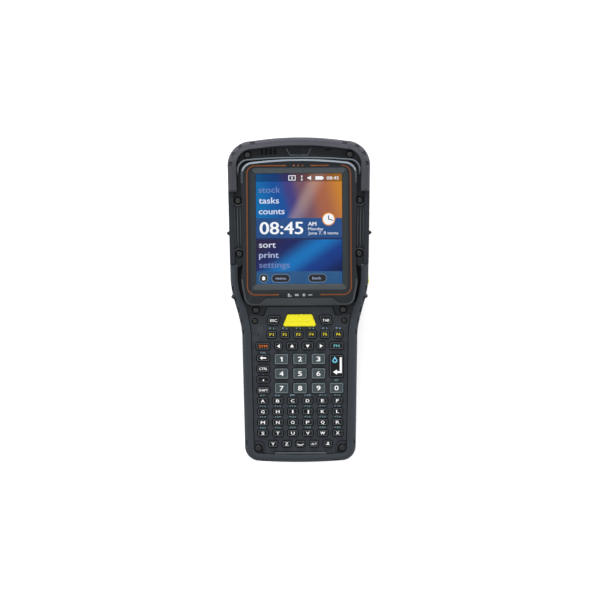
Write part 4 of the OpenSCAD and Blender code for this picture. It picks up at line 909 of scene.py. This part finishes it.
def ribbon(path):
    """A flat printed line: a path with two edges half the width away at either side, and rounded ends."""
    path, half = np.asarray(path, float), LINE_WIDTH / 2
    out = right_of(np.gradient(path, axis=0)) * half
    arc = circle(np.linspace(-math.pi / 2, math.pi / 2, 7)[1:-1])
    front, back = (path[k] + sign * arc @ [(-out[k][1], out[k][0]), -out[k]] for k, sign in ((-1, 1), (0, -1)))
    return sheet(np.vstack([path + out, front, (path - out)[::-1], back]), [], PRINT_LEVEL)


ring = rounded_polygon(bar_corners(LINE_LEFT, LINE_RIGHT, LINE_LOW, LINE_TOP), LINE_RADIUS, 0, 16)
lines = [ribbon(np.vstack([[(14.6, LINE_LOW), (22, LINE_LOW)], ring[16:48], [(29.6, LINE_TOP)]])),
         ribbon(np.vstack([[(-9.0, LINE_TOP), (-20, LINE_TOP)], ring[48:], ring[:16],
                           [(-22, LINE_LOW), (-14.6, LINE_LOW)]])),
         ribbon([(8.2, LINE_TOP), (14, LINE_TOP), (20.2, LINE_TOP)])]
lines += [plate(disc_corners(x, LINE_TOP, 0.6, 16), 0.1, PRINT_LEVEL) for x in (-3.4, -0.4, 2.6)]
orange_print = moulded("orange_print", (116, 66, 32), (190, 120, 60), 0.45, drift=0.2)
add_piece("orange_line", together(lines), [orange_print])
marks = [plate(bar_corners(left, right, STATUS_Y - down, STATUS_Y + up), radius, PRINT_LEVEL)
         for left, right, down, up, radius in ((-8.0, -6.8, 1.3, 1.0, 0.3), (-6.3, -5.5, 1.3, -0.2, 0.3),
                                               (-3.2, -0.6, 0.7, 0.7, 0.3), (6.0, 8.8, 0.35, 0.35, 0.2))]
marks.append(plate(disc_corners(3.0, STATUS_Y, 1.0, 16), 0.1, PRINT_LEVEL))
status_print = moulded("status_print", (136, 142, 148), (190, 196, 200), 0.4, drift=0.3)
add_piece("status_windows", together(marks), [status_print])

# ---- Keypad plate
# A satin plate with a hole for each key. Every hole has a broken edge, paler as a painted highlight, and a wall
# darkened as painted shade; the lower screws stand in corner pockets, and a raised bar, paler as a painted highlight,
# closes the lower end.
PLATE, HOLE_FLOOR = 38.5, 36.6
KEY_RADIUS, KEY_CLEARANCE = 1.2, 0.42
PLATE_SCREWS = [(30.7, -14.7), (29.0, -102.2)]
SCAN_Y, F_Y, ARROW_Y, LABEL_SIZE = -14.4, -24.0, -32.0, 1.15
F_LEFT, F_PITCH, SYM_X, COMMAND_X, ENTER_X = -19.4, 9.2, 25.3, -25.2, 25.1
DIGIT_PITCH_X, DIGIT_PITCH_Y, LETTER_PITCH_X, ROW_PITCH, LETTER_TOP = 12.7, 10.0, 10.28, 7.4, -69.7
DIGIT_SIZE, COMMAND_SIZE, LETTER_SIZE = (9.8, 7.6), (9.0, 4.9), (7.4, 4.7)
BAR_HALF, BAR_LOW, BAR_HIGH, BAR_ROOM, SEAM_GAP = 17.9, -106.8, -104.9, 0.6, 0.5
POCKET_TOP, POCKET_SIDE, POCKET_RADIUS, POCKET_DEPTH = -96.9, 24.2, 4.0, 0.45
INNER_TOP, INNER_SIDE, INNER_RADIUS, INNER_DEPTH, PULL_FROM, PULL_OVER = -99.5, 25.6, 2.6, 1.5, 78, 14

key_places = {f"key_f{n + 1}": [(F_LEFT + F_PITCH * n, F_Y, 6.4, 5.6)] for n in range(6)}
for name, x, width in (("sym", -SYM_X, 9.8), ("fn", SYM_X, 9.8), ("left", -14.6, 5.6), ("right", 14.6, 5.6),
                       ("up", -5.4, 7.8), ("down", 5.4, 7.8)):
    key_places["key_" + name] = [(x, ARROW_Y, width, 5.4)]
for n in range(9):
    key_places[f"key_{n + 1}"] = [(DIGIT_PITCH_X * (n % 3 - 1), -41.0 - DIGIT_PITCH_Y * (n // 3), *DIGIT_SIZE)]
key_places["key_0"] = [(ENTER_X, -61.0, *DIGIT_SIZE)]
key_places["key_enter"] = [(ENTER_X, -46.0, 9.8, 15.8)]
for n, name in enumerate(("backspace", "ctrl", "dot", "shift")):
    key_places["key_" + name] = [(COMMAND_X, -40.1 - ROW_PITCH * n, *COMMAND_SIZE)]
for row, first in enumerate("agms"):
    key_places["keys_row_" + first] = [((column - 2.5) * LETTER_PITCH_X, LETTER_TOP - ROW_PITCH * row, *LETTER_SIZE)
                                       for column in range(6)]
key_places["keys_row_y"] = [(-18.8 + 9.4 * n, -99.3, 6.4, 4.7) for n in range(5)]
key_corners = {name: [box_corners(*place) for place in places] for name, places in key_places.items()}
key_corners["key_scan"] = [[(-11.7, SCAN_Y - 4.2), (11.7, SCAN_Y - 4.2), (8.5, SCAN_Y + 4.2), (-8.5, SCAN_Y + 4.2)]]
esc_corners = [(-22.7, SCAN_Y - 2.7), (-15.3, SCAN_Y - 3.5), (-12.9, SCAN_Y + 3.5), (-21.5, SCAN_Y + 3.5)]
key_corners["key_esc"], key_corners["key_tab"] = [[ring] for ring in both_sides(esc_corners)]


def inward(points, outward, depth, pull):
    """Outline points moved in by a depth. Near the two ends the lip is narrower, so its inner edge is pulled out."""
    moved = points - outward * depth
    moved[:, 1] += pull * np.ravel(depth) / LIP
    return moved


def end_pull(y):
    """How far the lip's inner edge stands nearer to each end than on the sides."""
    near_top, near_end = (smooth_step((side * y - PULL_FROM) / PULL_OVER) for side in (1, -1))
    return (LIP - LIP_AT_TOP) * near_top - (LIP - LIP_AT_END) * near_end


def lip_edge(low, high, gap, count):
    """The inner edge of the lower boot's lip between two lengths, moved in by a gap."""
    points, outward = on_edge(np.linspace(low, high, count))
    return inward(points, outward, LIP + gap, end_pull(points[:, 1]))


def corner_pocket(side, top, radius, reach, gap):
    """A pocket in the lower right corner: along the lip, then in at its top, and down round one corner."""
    corner = [side + radius, top - radius] + radius * circle(np.linspace(math.pi / 2, math.pi, 10))
    return np.vstack([lip_edge(side + 0.2, run_at_y(top - 0.2), gap, 40), [(reach, top)], corner])


edge = lip_edge(BAR_HALF + BAR_ROOM, run_at_y(WING_Y - SEAM_GAP), 0.5, 420)
half_outline = np.vstack([
    [(0, BAR_HIGH + BAR_ROOM), (BAR_HALF, BAR_HIGH + BAR_ROOM), (edge[0, 0], BAR_HIGH)], edge,
    [(WING_HALF - SEAM_GAP, WING_Y - SEAM_GAP), (CHIN_HALF - SEAM_GAP, CHIN_Y - SEAM_GAP)]])
plate_outline = np.vstack([half_outline, half_outline[:0:-1] * [-1, 1]])
pockets = both_sides(corner_pocket(POCKET_SIDE, POCKET_TOP, POCKET_RADIUS, 31.4, 0.75))
end_wells = both_sides(corner_pocket(INNER_SIDE, INNER_TOP, INNER_RADIUS, 30.9, 1.2))
tab_wells = [disc_corners(x, y, 2.45, 28) for x, y in at_both(PLATE_SCREWS[:1])]
microphone = disc_corners(-28.4, F_Y, 0.5, 12)
key_holes = [rounded_polygon(ring, KEY_RADIUS, KEY_CLEARANCE, 5) for rings in key_corners.values() for ring in rings]
# Near-black walls, and the sheets under the chin seam and round the bar, are painted shade in the gaps.
face = [sheet(plate_outline, key_holes + tab_wells + pockets + [microphone], PLATE),
        pocket(plate_outline, [(0, PLATE), (-0.04, PLATE - 0.04), (-0.06, PLATE - 1.6)], [2, 2], floor=False),
        pocket(microphone, [(0, PLATE), (0.05, PLATE - 0.8)], [2, 2]),
        sheet(bar_corners(-34, 34, WING_Y - 0.9, CHIN_Y + 0.6), [], PLATE - 0.85, 2),
        toned(stacked(bar_corners(-BAR_HALF, BAR_HALF, BAR_LOW, BAR_HIGH), 0.85,
                      [(0, 37.0), (0, 38.75), (-0.15, 38.95), (-0.4, 39.05)]), 4),
        plate(bar_corners(-BAR_HALF - BAR_ROOM, BAR_HALF + BAR_ROOM, BAR_LOW - 1.0, BAR_HIGH + BAR_ROOM), 0.1,
              PLATE - 1.4, 2)]
face += [pocket(hole, [(0, PLATE), (0.08, PLATE - 0.06), (0.12, PLATE - 0.2), (0.12, HOLE_FLOOR)], [1, 2, 2],
                floor=False) for hole in key_holes]
face += [pocket(well, broken_edge(PLATE, WELL_DEPTH), [1, 1, 2, 2]) for well in tab_wells]
for outline, well in zip(pockets, end_wells):
    bottom = PLATE - POCKET_DEPTH
    face += [pocket(outline, [(0, PLATE), (0.06, PLATE - 0.05), (0.3, bottom)], [2, 2], floor=False),
             sheet(moved_in(outline, 0.3), [well], bottom),
             pocket(well, [(0, bottom), (0.1, bottom - 0.1), (0.5, PLATE - INNER_DEPTH)], [2, 3, 3])]
plate_plastic = moulded("plate_plastic", (50, 54, 60), (88, 92, 98), 0.5, drift=0.12, rub=0.2, specular=0.25)
# A paler grey on the broken edges of the holes and tab wells, a painted highlight.
plate_edge_highlight = moulded("plate_edge_highlight", (70, 75, 80), (104, 108, 114), 0.45)
# Dark grey in the floors of the corner wells, painted shade.
plate_painted_shade = moulded("plate_painted_shade", (30, 33, 37), (60, 64, 68), 0.55, rub=0.2)
# The raised bar is a paler grey, a painted highlight along it.
pale_bar_highlight = moulded("pale_bar_highlight", (70, 77, 80), (110, 116, 120), 0.45, rub=0.2)
add_piece("keypad_face", together(face), [plate_plastic, plate_edge_highlight, painted_shade_hole, plate_painted_shade, pale_bar_highlight],
          ["keypad_plate"])

labels = [(f"P {n + 1}", F_LEFT + F_PITCH * n, -19.9, 3.3, LABEL_SIZE) for n in range(6)]
labels += [(f"F{n + 7}", (n % 6 - 2.5) * LETTER_PITCH_X, LETTER_TOP - ROW_PITCH * (n // 6) + 3.75,
            3.0 if n < 3 else 4.0, LABEL_SIZE) for n in range(24)]
labels += [("DEL", COMMAND_X, -36.45, 4.0, LABEL_SIZE), (":", COMMAND_X, -51.3, 0.4, 1.2),
           ("SP", ENTER_X, -55.6, 3.0, LABEL_SIZE)]
label_print = moulded("label_print", (140, 178, 188), (150, 186, 194), 0.5, drift=0.3)
add_piece("printed_labels", together([line_of_text(text, size, x, y, PLATE + 0.03, wide, 0, 0.03)
                                      for text, x, y, wide, size in labels]), [label_print])

# ---- Keys
# Moulded caps with a dished top inside a raised rim. The black keys have printed legends, the
# digits are grey, and the scan key is yellow with three bumps for the thumb.
KEY_LOW, KEY_TOP, SCAN_TOP = 34.7, 39.8, 40.1
LEGEND = KEY_TOP - 0.13
RIM_HIGHLIGHT, WHITE, YELLOW, ORANGE, CYAN, BLUE = 1, 2, 3, 4, 5, 6
# The shoulder bands take the paler rim material, a painted highlight round the top of each key.
KEY_TONES = [0, 0, 0, 0, 0, 0, RIM_HIGHLIGHT, RIM_HIGHLIGHT, RIM_HIGHLIGHT, 0, 0, 0]
LETTER_WIDTHS = {"I": 0.7, "J": 1.5, "L": 1.7, "M": 2.5, "W": 2.9, "F": 1.7, "E": 1.7, "S": 1.7}
FIGURE_ONE = np.array([(0.0, -1.58), (0.75, -1.58), (0.75, 1.58), (0.2, 1.58), (-0.8, 1.0), (-0.8, 0.35), (0.0, 0.75)])
DROP_X, DROP_Y = 24.0, -42.0


def key_shape(corners, top, dish=0.16):
    """A key: flange, body, a step in to the cap, a rounded shoulder, a raised rim and a dished top."""
    profile = [(0.5, KEY_LOW), (0.5, 36.3), (0.0, 36.32), (0.0, 38.2), (-0.35, 38.25), (-0.35, top - 0.5),
               (-0.4, top - 0.22), (-0.55, top - 0.04), (-0.74, top), (-0.92, top - 0.06), (-1.02, top - dish),
               (-1.2, top - dish - 0.01), (-1.7, top - dish - 0.02)]
    return stacked(corners, KEY_RADIUS, profile, KEY_TONES)


def arrow_head(x, y, size, turn):
    """An arrow head in white print that points up and is then turned by quarter turns anticlockwise."""
    corners = np.array([(-size, -0.62 * size), (size, -0.62 * size), (0, 0.9 * size)])
    cos, sin = math.cos(turn * math.pi / 2), math.sin(turn * math.pi / 2)
    return plate(corners @ np.array([[cos, sin], [-sin, cos]]) + [x, y], 0.12 if size < 1.5 else 0.15, LEGEND, WHITE)


def bar_print(x, y, left, right, low, high, radius=0.1):
    """A bar in white print, given by its edges from (x, y)."""
    return plate(bar_corners(x + left, x + right, y + low, y + high), radius, LEGEND, WHITE)


def place_of(name):
    """The middle of a key."""
    return key_places["key_" + name][0][:2]


worded = [(f"f{n}", f"F{n}", 1.8, 2.7, YELLOW, 0.02) for n in range(1, 7)]
worded += [(f"{n}", f"{n}", 3.15, 2.6, WHITE, 0.03) for n in (0, *range(2, 10))]
worded += [("sym", "SYM", 1.8, 5.8, ORANGE, 0.02), ("fn", "FN", 1.8, 3.8, CYAN, 0.02),
           ("ctrl", "CTRL", 1.6, 5.6, WHITE, 0.02), ("shift", "SHIFT", 1.6, 6.2, WHITE, 0.02)]
legends = {"key_" + name: [line_of_text(text, size, *place_of(name), LEGEND, wide, tone, bold)]
           for name, text, size, wide, tone, bold in worded}
for name, text, x in (("key_esc", "ESC", -18.0), ("key_tab", "TAB", 18.0)):
    legends[name] = [line_of_text(text, 1.75, x, SCAN_Y, LEGEND, 4.6, WHITE, 0.02)]
for turn, name in enumerate(("up", "left", "down", "right")):
    legends["key_" + name] = [arrow_head(*place_of(name), 1.35, turn)]
legends["key_1"] = [sheet(FIGURE_ONE + place_of("1"), [], LEGEND, WHITE)]
legends["key_5"].append(plate(disc_corners(-2.9, -51.0, 0.35, 12), 0.1, LEGEND + 0.3, RIM_HIGHLIGHT, 0.5))
legends["key_dot"] = [plate(disc_corners(COMMAND_X, -55.4, 0.55, 14), 0.1, LEGEND, WHITE)]
legends["key_backspace"] = [arrow_head(-26.6, -40.1, 1.2, 1), bar_print(0, -40.1, -25.86, -23.2, -0.45, 0.45)]
drop = np.vstack([disc_corners(DROP_X, DROP_Y, 1.8)[np.r_[12:24, 0:1]], [(DROP_X, DROP_Y + 2.8)]])
legends["key_enter"] = [
    bar_print(0, -49.4, 27.4, 28.8, 0.0, 9.5, 0.05), bar_print(0, -49.4, 25.52, 28.8, -1.3, 0.0, 0.05),
    arrow_head(24.4, -50.05, 1.8, 1), plate(drop, 0.15, LEGEND, BLUE),
    plate(disc_corners(DROP_X, DROP_Y, 0.9, 16), 0.1, LEGEND + 0.02, 0)]
for row, first in enumerate("agms"):
    legends["keys_row_" + first] = [
        line_of_text(letter, 2.0, x, y, LEGEND, LETTER_WIDTHS.get(letter, 2.1) * 1.1, WHITE, 0.045)
        for letter, (x, y, *_) in zip("ABCDEFGHIJKLMNOPQRSTUVWX"[6 * row:], key_places["keys_row_" + first])]
y_key, z_key, space_key, alt_key, sign_key = (place[:2] for place in key_places["keys_row_y"])
legends["keys_row_y"] = [
    line_of_text("Y", 2.0, *y_key, LEGEND, 2.3, WHITE, 0.045),
    line_of_text("Z", 2.0, *z_key, LEGEND, 2.1, WHITE, 0.045),
    line_of_text("ALT", 1.4, *alt_key, LEGEND, 3.6, WHITE, 0.02),
    bar_print(*space_key, -2, 2, -1.0, -0.45), bar_print(*space_key, -2, -1.45, -1.0, 0.1),
    bar_print(*space_key, 1.45, 2, -1.0, 0.1), bar_print(*sign_key, -1.1, 1.1, -0.7, -0.1),
    plate(disc_corners(sign_key[0] + 0.3, sign_key[1] + 0.6, 0.6, 14), 0.1, LEGEND, WHITE)]

# Each pair is a key colour and a paler grey for its rim, a painted highlight; the bump on the 5 has it too.
black_pair = [moulded("key_black", (17, 18, 20), (48, 50, 54), 0.4, drift=0.08, rub=0.3),
              moulded("key_rim", (66, 72, 77), (104, 108, 114), 0.4, drift=0.15, rub=0.3)]
grey_pair = [moulded("key_grey", (64, 74, 78), (120, 130, 134), 0.42, drift=0.08, rub=0.3),
             moulded("key_grey_rim", (98, 108, 112), (146, 154, 158), 0.4, drift=0.12, rub=0.3)]
prints = [moulded("legend_" + name, colour, rubbed, 0.5, drift=drift) for name, colour, rubbed, drift in (
    ("white", (250, 251, 251), (254, 254, 254), 0.03), ("yellow", (226, 208, 40), (240, 226, 90), 0.08),
    ("orange", (224, 116, 30), (236, 150, 80), 0.08), ("cyan", (96, 196, 208), (150, 216, 224), 0.08),
    ("blue", (112, 196, 222), (150, 216, 232), 0.08))]
for name, rings in key_corners.items():
    if name == "key_scan":
        bumps = [stacked(disc_corners(x, SCAN_Y, 0.75, 20), 0.2, [
            (0, SCAN_TOP - 0.3), (0, SCAN_TOP - 0.02), (-0.2, SCAN_TOP + 0.12), (-0.5, SCAN_TOP + 0.2)])
            for x in (-5.0, 0.0, 5.0)]
        add_piece("scan_key_cap", together([toned(key_shape(rings[0], SCAN_TOP, 0.06), 0)] + bumps),
                  [yellow_plastic], [name], name)
        continue
    pair, slot = (grey_pair, "key_grey") if name[4:].isdigit() else (black_pair, "key_black")
    add_piece(name + "_cap", together([key_shape(ring, KEY_TOP) for ring in rings] + legends[name]), pair + prints,
              [name], name)

# ---- Screws
# Black button-head screws with hex sockets hold the front to the frame, and six more close
# the back.
SCREW_HEAD, SOCKET_FLATS, SOCKET_DEPTH, SCREW_SIDES = 2.0, 0.9, 0.7, 48
SCREW_PROFILE = [(1.25, -6.0), (1.25, 0.0), (1.9, 0.02), (SCREW_HEAD, 0.12), (SCREW_HEAD, 0.5), (1.92, 0.72),
                 (1.7, 0.86), (1.4, 0.92)]
SOCKET_PROFILE = [(1.08, 0.92), (1.0, 0.84), (0.98, 0.92 - SOCKET_DEPTH)]


def screw_shape(x, y, seat, size=1.0):
    """A screw turned about its axis: shank, head with a rounded edge, and a six-sided socket, whose ring has
    the radius flats / cos(angle from the middle of the nearest flat)."""
    angle = full_turn(SCREW_SIDES)
    hexagon = circle(angle) * (SOCKET_FLATS / np.cos((angle % (math.pi / 3)) - math.pi / 6))[:, None]
    rings = [at_level(radius * circle(angle), z) for radius, z in SCREW_PROFILE]
    rings += [at_level(share * hexagon, z) for share, z in SOCKET_PROFILE]
    points, faces, tones = skin(rings)
    return points * [size, size, 1] + [x, y, seat], faces, tones


front = [screw_shape(x, y, PAN - WELL_DEPTH) for x, y in at_both(BEZEL_SCREWS)]
front += [screw_shape(x, y, PLATE - WELL_DEPTH, size)
          for (x, y), size in zip(at_both(PLATE_SCREWS), (0.8, 0.8, 1.0, 1.0))]
screw_steel = metal("screw_steel", (80, 80, 81), (116, 118, 122), 0.38)
add_piece("front_screw_set", together(front), [screw_steel], ["front_screws"])
finish(screw_steel, "rear_screws")

# ---- Side buttons
# A yellow scan button stands in an opening of the rubber at either side. Its face is bowed, and
# only the crown of the right one stands clear of the rubber.
BUTTON_Y, BUTTON_Z, CAP_HALF, CAP_TALL, CAP_RADIUS = 16.4, 31.2, 6.7, 6.3, 1.9
CROWN_Y, CROWN_REACH, CAP_SINK = 13.6, 4.9, 0.3
CAP_PROFILE = [(0.0, 1.55), (0.0, 0.75), (-0.15, 0.3), (-0.5, 0.08), (-1.1, 0.0), (-1.8, 0.0)]
for side, sign, crown in (("left", -1, -0.05), ("right", 1, 1.05)):
    rings = []
    for grow, back in CAP_PROFILE:
        ring = rounded_polygon(box_corners(BUTTON_Y, BUTTON_Z, 2 * CAP_HALF, CAP_TALL), CAP_RADIUS, grow, 24)
        lens = np.clip(1 - ((ring[:, 0] - CROWN_Y) / CROWN_REACH)**2, 0, 1)
        face = half_width(ring[:, 0]) - CAP_SINK + (crown + CAP_SINK) * lens - back
        rings.append(np.column_stack([face * sign, ring]))
    name = "side_button_" + side
    add_piece(name + "_cap", skin(rings), [yellow_plastic], [name], name)

# ---- Rubber boots
# Two soft overmoulded boots wrap the head and the grip. Each is one wall along the outer edge
# with a lip over the front; grip notches, nubs and openings are let into it.
BOOT_BACK, BOOT_WALL, LIP_BASE, SHOULDER_END, END_ROUND = 12.0, 3.0, 36.5, 3.5, 2.0
NOTCH_DEPTH, NOTCH_HALF, WALL_NOTCH_DEPTH, WALL_NOTCH_LOW, WALL_NOTCH_HIGH = 0.7, 1.7, 1.2, 18.0, 33.0
UPPER_FRONT, UPPER_END_Y, POD_ROOM, PARTING, UPPER_TILT, TILT_FROM, TILT_OVER = 42.6, 74.15, 30.3, 26.0, 3.2, 92, 12
LOWER_FRONT, LOWER_END_Y, DOCK_HALF, DOCK_TOP, HEAD_SLIM, SLIM_FROM, SLIM_OVER = 40.0, 24.4, 14.0, 21.5, 0.9, -7, 9
NUB_Y, NUB_REACH, NUB_TIP, NUB_LOW = 2.2, 2.2, 1.6, 23.5
OPENING_HALF, OPENING_TALL, OPENING_SINK, RAMP, SECTION_STEP = 7.3, 3.5, 2.9, 0.25, 0.55


def windows(run, spans, ramp=RAMP):
    """1 inside each span of lengths, 0 outside, with a short ramp at its edges."""
    inside = np.zeros_like(run)
    for low, high in spans:
        inside = np.maximum(inside, np.clip((run - low) / ramp + 0.5, 0, 1) * np.clip((high - run) / ramp + 0.5, 0, 1))
    return inside


def columns_for(low, high, spans):
    """Lengths along the edge at which a boot has a section: even steps, and a pair at each edge of a span."""
    edges = [end + side * RAMP / 2 for span in spans for end in span for side in (-1, 1)]
    close = np.concatenate([[0.0, 0.03, 0.12, 0.27], np.linspace(0.5, 2.2, 6)])
    marks = np.concatenate([np.linspace(low, high, int((high - low) / SECTION_STEP)), edges, low + close, high - close])
    return np.unique(np.round(marks[(marks >= low) & (marks <= high)], 3))


def boot_section(front, rounding, levels):
    """Closed section of a boot, as depth from the outer edge and level: wall, rounded shoulder, dip, lip, inside.
    Its wall has points at these levels and at the ends of the notches."""
    turn = np.radians(np.linspace(0, 90, 10))
    levels = [WALL_NOTCH_LOW - 0.1, WALL_NOTCH_LOW + 0.2, *levels]
    wall = [(0.5, BOOT_BACK), (0.12, BOOT_BACK + 0.15), (0.0, BOOT_BACK + 0.5)] + [(0.0, z) for z in levels]
    shoulder = [(rounding * (1 - math.cos(a)), front - rounding * (1 - math.sin(a))) for a in turn]
    dip = [(rounding + 0.5, front - 0.03), (rounding + 1.0, front - 0.22), (rounding + 1.6, front - 0.25)]
    lip = [(LIP - 0.8 * (1 - math.sin(a)), front - 0.25 - 0.8 * (1 - math.cos(a))) for a in turn[::3]]
    return np.array(wall + shoulder + dip + lip + [(LIP, LIP_BASE), (BOOT_WALL, LIP_BASE), (BOOT_WALL, BOOT_BACK)])


def boot_skin(columns, section, notches, pocket_reach, free_back, free_spans, nubs=(), opening=None, tilt=0.0,
              slim=0.0):
    """A boot along the outer edge. Notches press small pockets into the shoulder and grooves into the wall, nubs
    push the wall out, an opening presses it in, the back edge is raised where something passes behind it, and the
    lip may fall towards the top or be slimmer beside the head. Faces in the pockets have the second material."""
    points, outward = on_edge(columns)
    y = points[:, 1:]
    depth_at, level_at = section.T
    depth, level = (np.repeat(part[None], len(columns), 0) for part in (depth_at, level_at))
    front = level_at.max()
    outer = ((depth_at < BOOT_WALL - 0.1) & (np.arange(len(section)) < len(section) - 3))[None]
    notch = windows(columns, notches)[:, None]
    in_wall = outer & (level > WALL_NOTCH_LOW) & (level < WALL_NOTCH_HIGH) & (depth < 0.01)
    depth = np.where(in_wall, np.maximum(depth, notch * WALL_NOTCH_DEPTH), depth)
    in_shoulder = (level_at > front - 2.0) & (depth_at > pocket_reach[0]) & (depth_at < pocket_reach[1])
    level = np.where(in_shoulder[None], level - notch * NOTCH_DEPTH, level)
    slimmer = 1 - slim * smooth_step((y - SLIM_FROM) / SLIM_OVER) / (LIP - SHOULDER_END)
    depth = np.where(depth > SHOULDER_END, SHOULDER_END + (depth - SHOULDER_END) * slimmer, depth)
    for middle in nubs:
        lift = NUB_TIP * smooth_step(1 - np.abs(columns - middle) / NUB_REACH)[:, None]
        depth = np.where(outer & (level > NUB_LOW) & (depth < 0.8), depth - lift, depth)
    if opening:
        spans, low, high = opening
        pressed = windows(columns, spans, 0.1)[:, None] * OPENING_SINK
        depth = np.where(outer & (level > low) & (level < high), np.maximum(depth, pressed), depth)
    fall = tilt * smooth_step((y - TILT_FROM) / TILT_OVER) * np.clip(1 - depth_at[None] / LIP, 0, 1)
    level = np.where(level_at[None] > front - 3, level - fall, level)
    level = np.where(windows(columns, free_spans)[:, None] > 0.5, np.maximum(level, free_back), level)
    t = np.clip(END_ROUND - np.minimum(columns - columns[0], columns[-1] - columns), 0, END_ROUND)
    end_front = (front - END_ROUND + np.sqrt(END_ROUND**2 - t**2))[:, None]
    level = np.where(level > LIP_BASE + 0.1, np.maximum(np.minimum(level, end_front), LIP_BASE), level)
    rings = np.empty((len(columns), len(section), 3))
    for k in range(len(section)):
        rings[:, k, :2] = inward(points, outward, depth[:, k:k + 1], end_pull(points[:, 1]))
    rings[..., 2] = level
    points, faces, tones = skin(rings)
    # The pocket faces take the second, darker rubber, painted shade in the notches.
    pressed = (notch[:-1, 0] > 0.4) & (notch[1:, 0] > 0.4)
    pockets = (pressed[:, None] & (in_shoulder & np.roll(in_shoulder, -1))[None]).astype(int).ravel().tolist()
    return points, faces, pockets + tones[len(pockets):]


def add_boot(name, shape, colour, rubbed, roughness, pocket_shade_colour, pocket_shade_rubbed):
    """A boot in its rubber, with a darker rubber in its pockets that paints shade into them."""
    rubber = moulded(f"boot_{name}_rubber", colour, rubbed, roughness, grain_mm=0.5, depth_mm=0.03, rub=0.4)
    pocket_painted_shade = moulded(name + "_pocket_painted_shade", pocket_shade_colour, pocket_shade_rubbed, 0.7, grain_mm=0.5, rub=0.2)
    add_piece(f"boot_{name}_skin", shape, [rubber, pocket_painted_shade], ["boot_" + name])


start, corner_run = run_at_y(UPPER_END_Y), run_at_y(SIDE_HIGH)
notches = []
for angle in (2, 30, 58, 92):
    middle = corner_run + TOP_RADIUS * math.radians(angle)
    notches += [(run - NOTCH_HALF, run + NOTCH_HALF) for run in (middle, 2 * TOTAL_RUN - middle)]
pod_span = [(TOTAL_RUN - POD_ROOM, TOTAL_RUN + POD_ROOM)]
section = boot_section(UPPER_FRONT, 2.6, [PARTING, WALL_NOTCH_HIGH - 0.2, WALL_NOTCH_HIGH + 0.1])
upper = boot_skin(columns_for(start, 2 * TOTAL_RUN - start, notches + pod_span), section, notches, (1.0, 3.3),
                  PARTING, pod_span, tilt=UPPER_TILT)
add_boot("upper", upper, (65, 65, 72), (128, 128, 136), 0.5, (52, 52, 58), (80, 80, 86))

start = run_at_y(LOWER_END_Y)
side_spans = [(run_at_y(y - NOTCH_HALF), run_at_y(y + NOTCH_HALF)) for y in 7.6 - 7.5 * np.arange(5)]
side_spans += [(middle - reach, middle + reach) for middle, reach in ((run_at_y(-97.9), 1.8), (24.8, 2.6))]
notches = [(low, high) for a, b in side_spans for low, high in ((a, b), (-b, -a))]
low, high = run_at_y(BUTTON_Y - OPENING_HALF), run_at_y(BUTTON_Y + OPENING_HALF)
button_spans = [(low, high), (-high, -low)]
dock_span = [(-DOCK_HALF, DOCK_HALF)]
low, high = BUTTON_Z - OPENING_TALL, BUTTON_Z + OPENING_TALL
section = boot_section(LOWER_FRONT, 3.4, [NUB_LOW - 0.1, NUB_LOW + 0.2, low, low + 0.1, WALL_NOTCH_HIGH - 0.2,
                                          WALL_NOTCH_HIGH + 0.1, high - 0.1, high])
lower = boot_skin(columns_for(-start, start, notches + button_spans + dock_span), section, notches, (0.5, 1.7),
                  DOCK_TOP, dock_span, [run_at_y(NUB_Y), -run_at_y(NUB_Y)], (button_spans, low + 0.05, high - 0.05),
                  slim=HEAD_SLIM)
add_boot("lower", lower, (54, 59, 65), (104, 108, 114), 0.66, (38, 41, 45), (60, 62, 66))
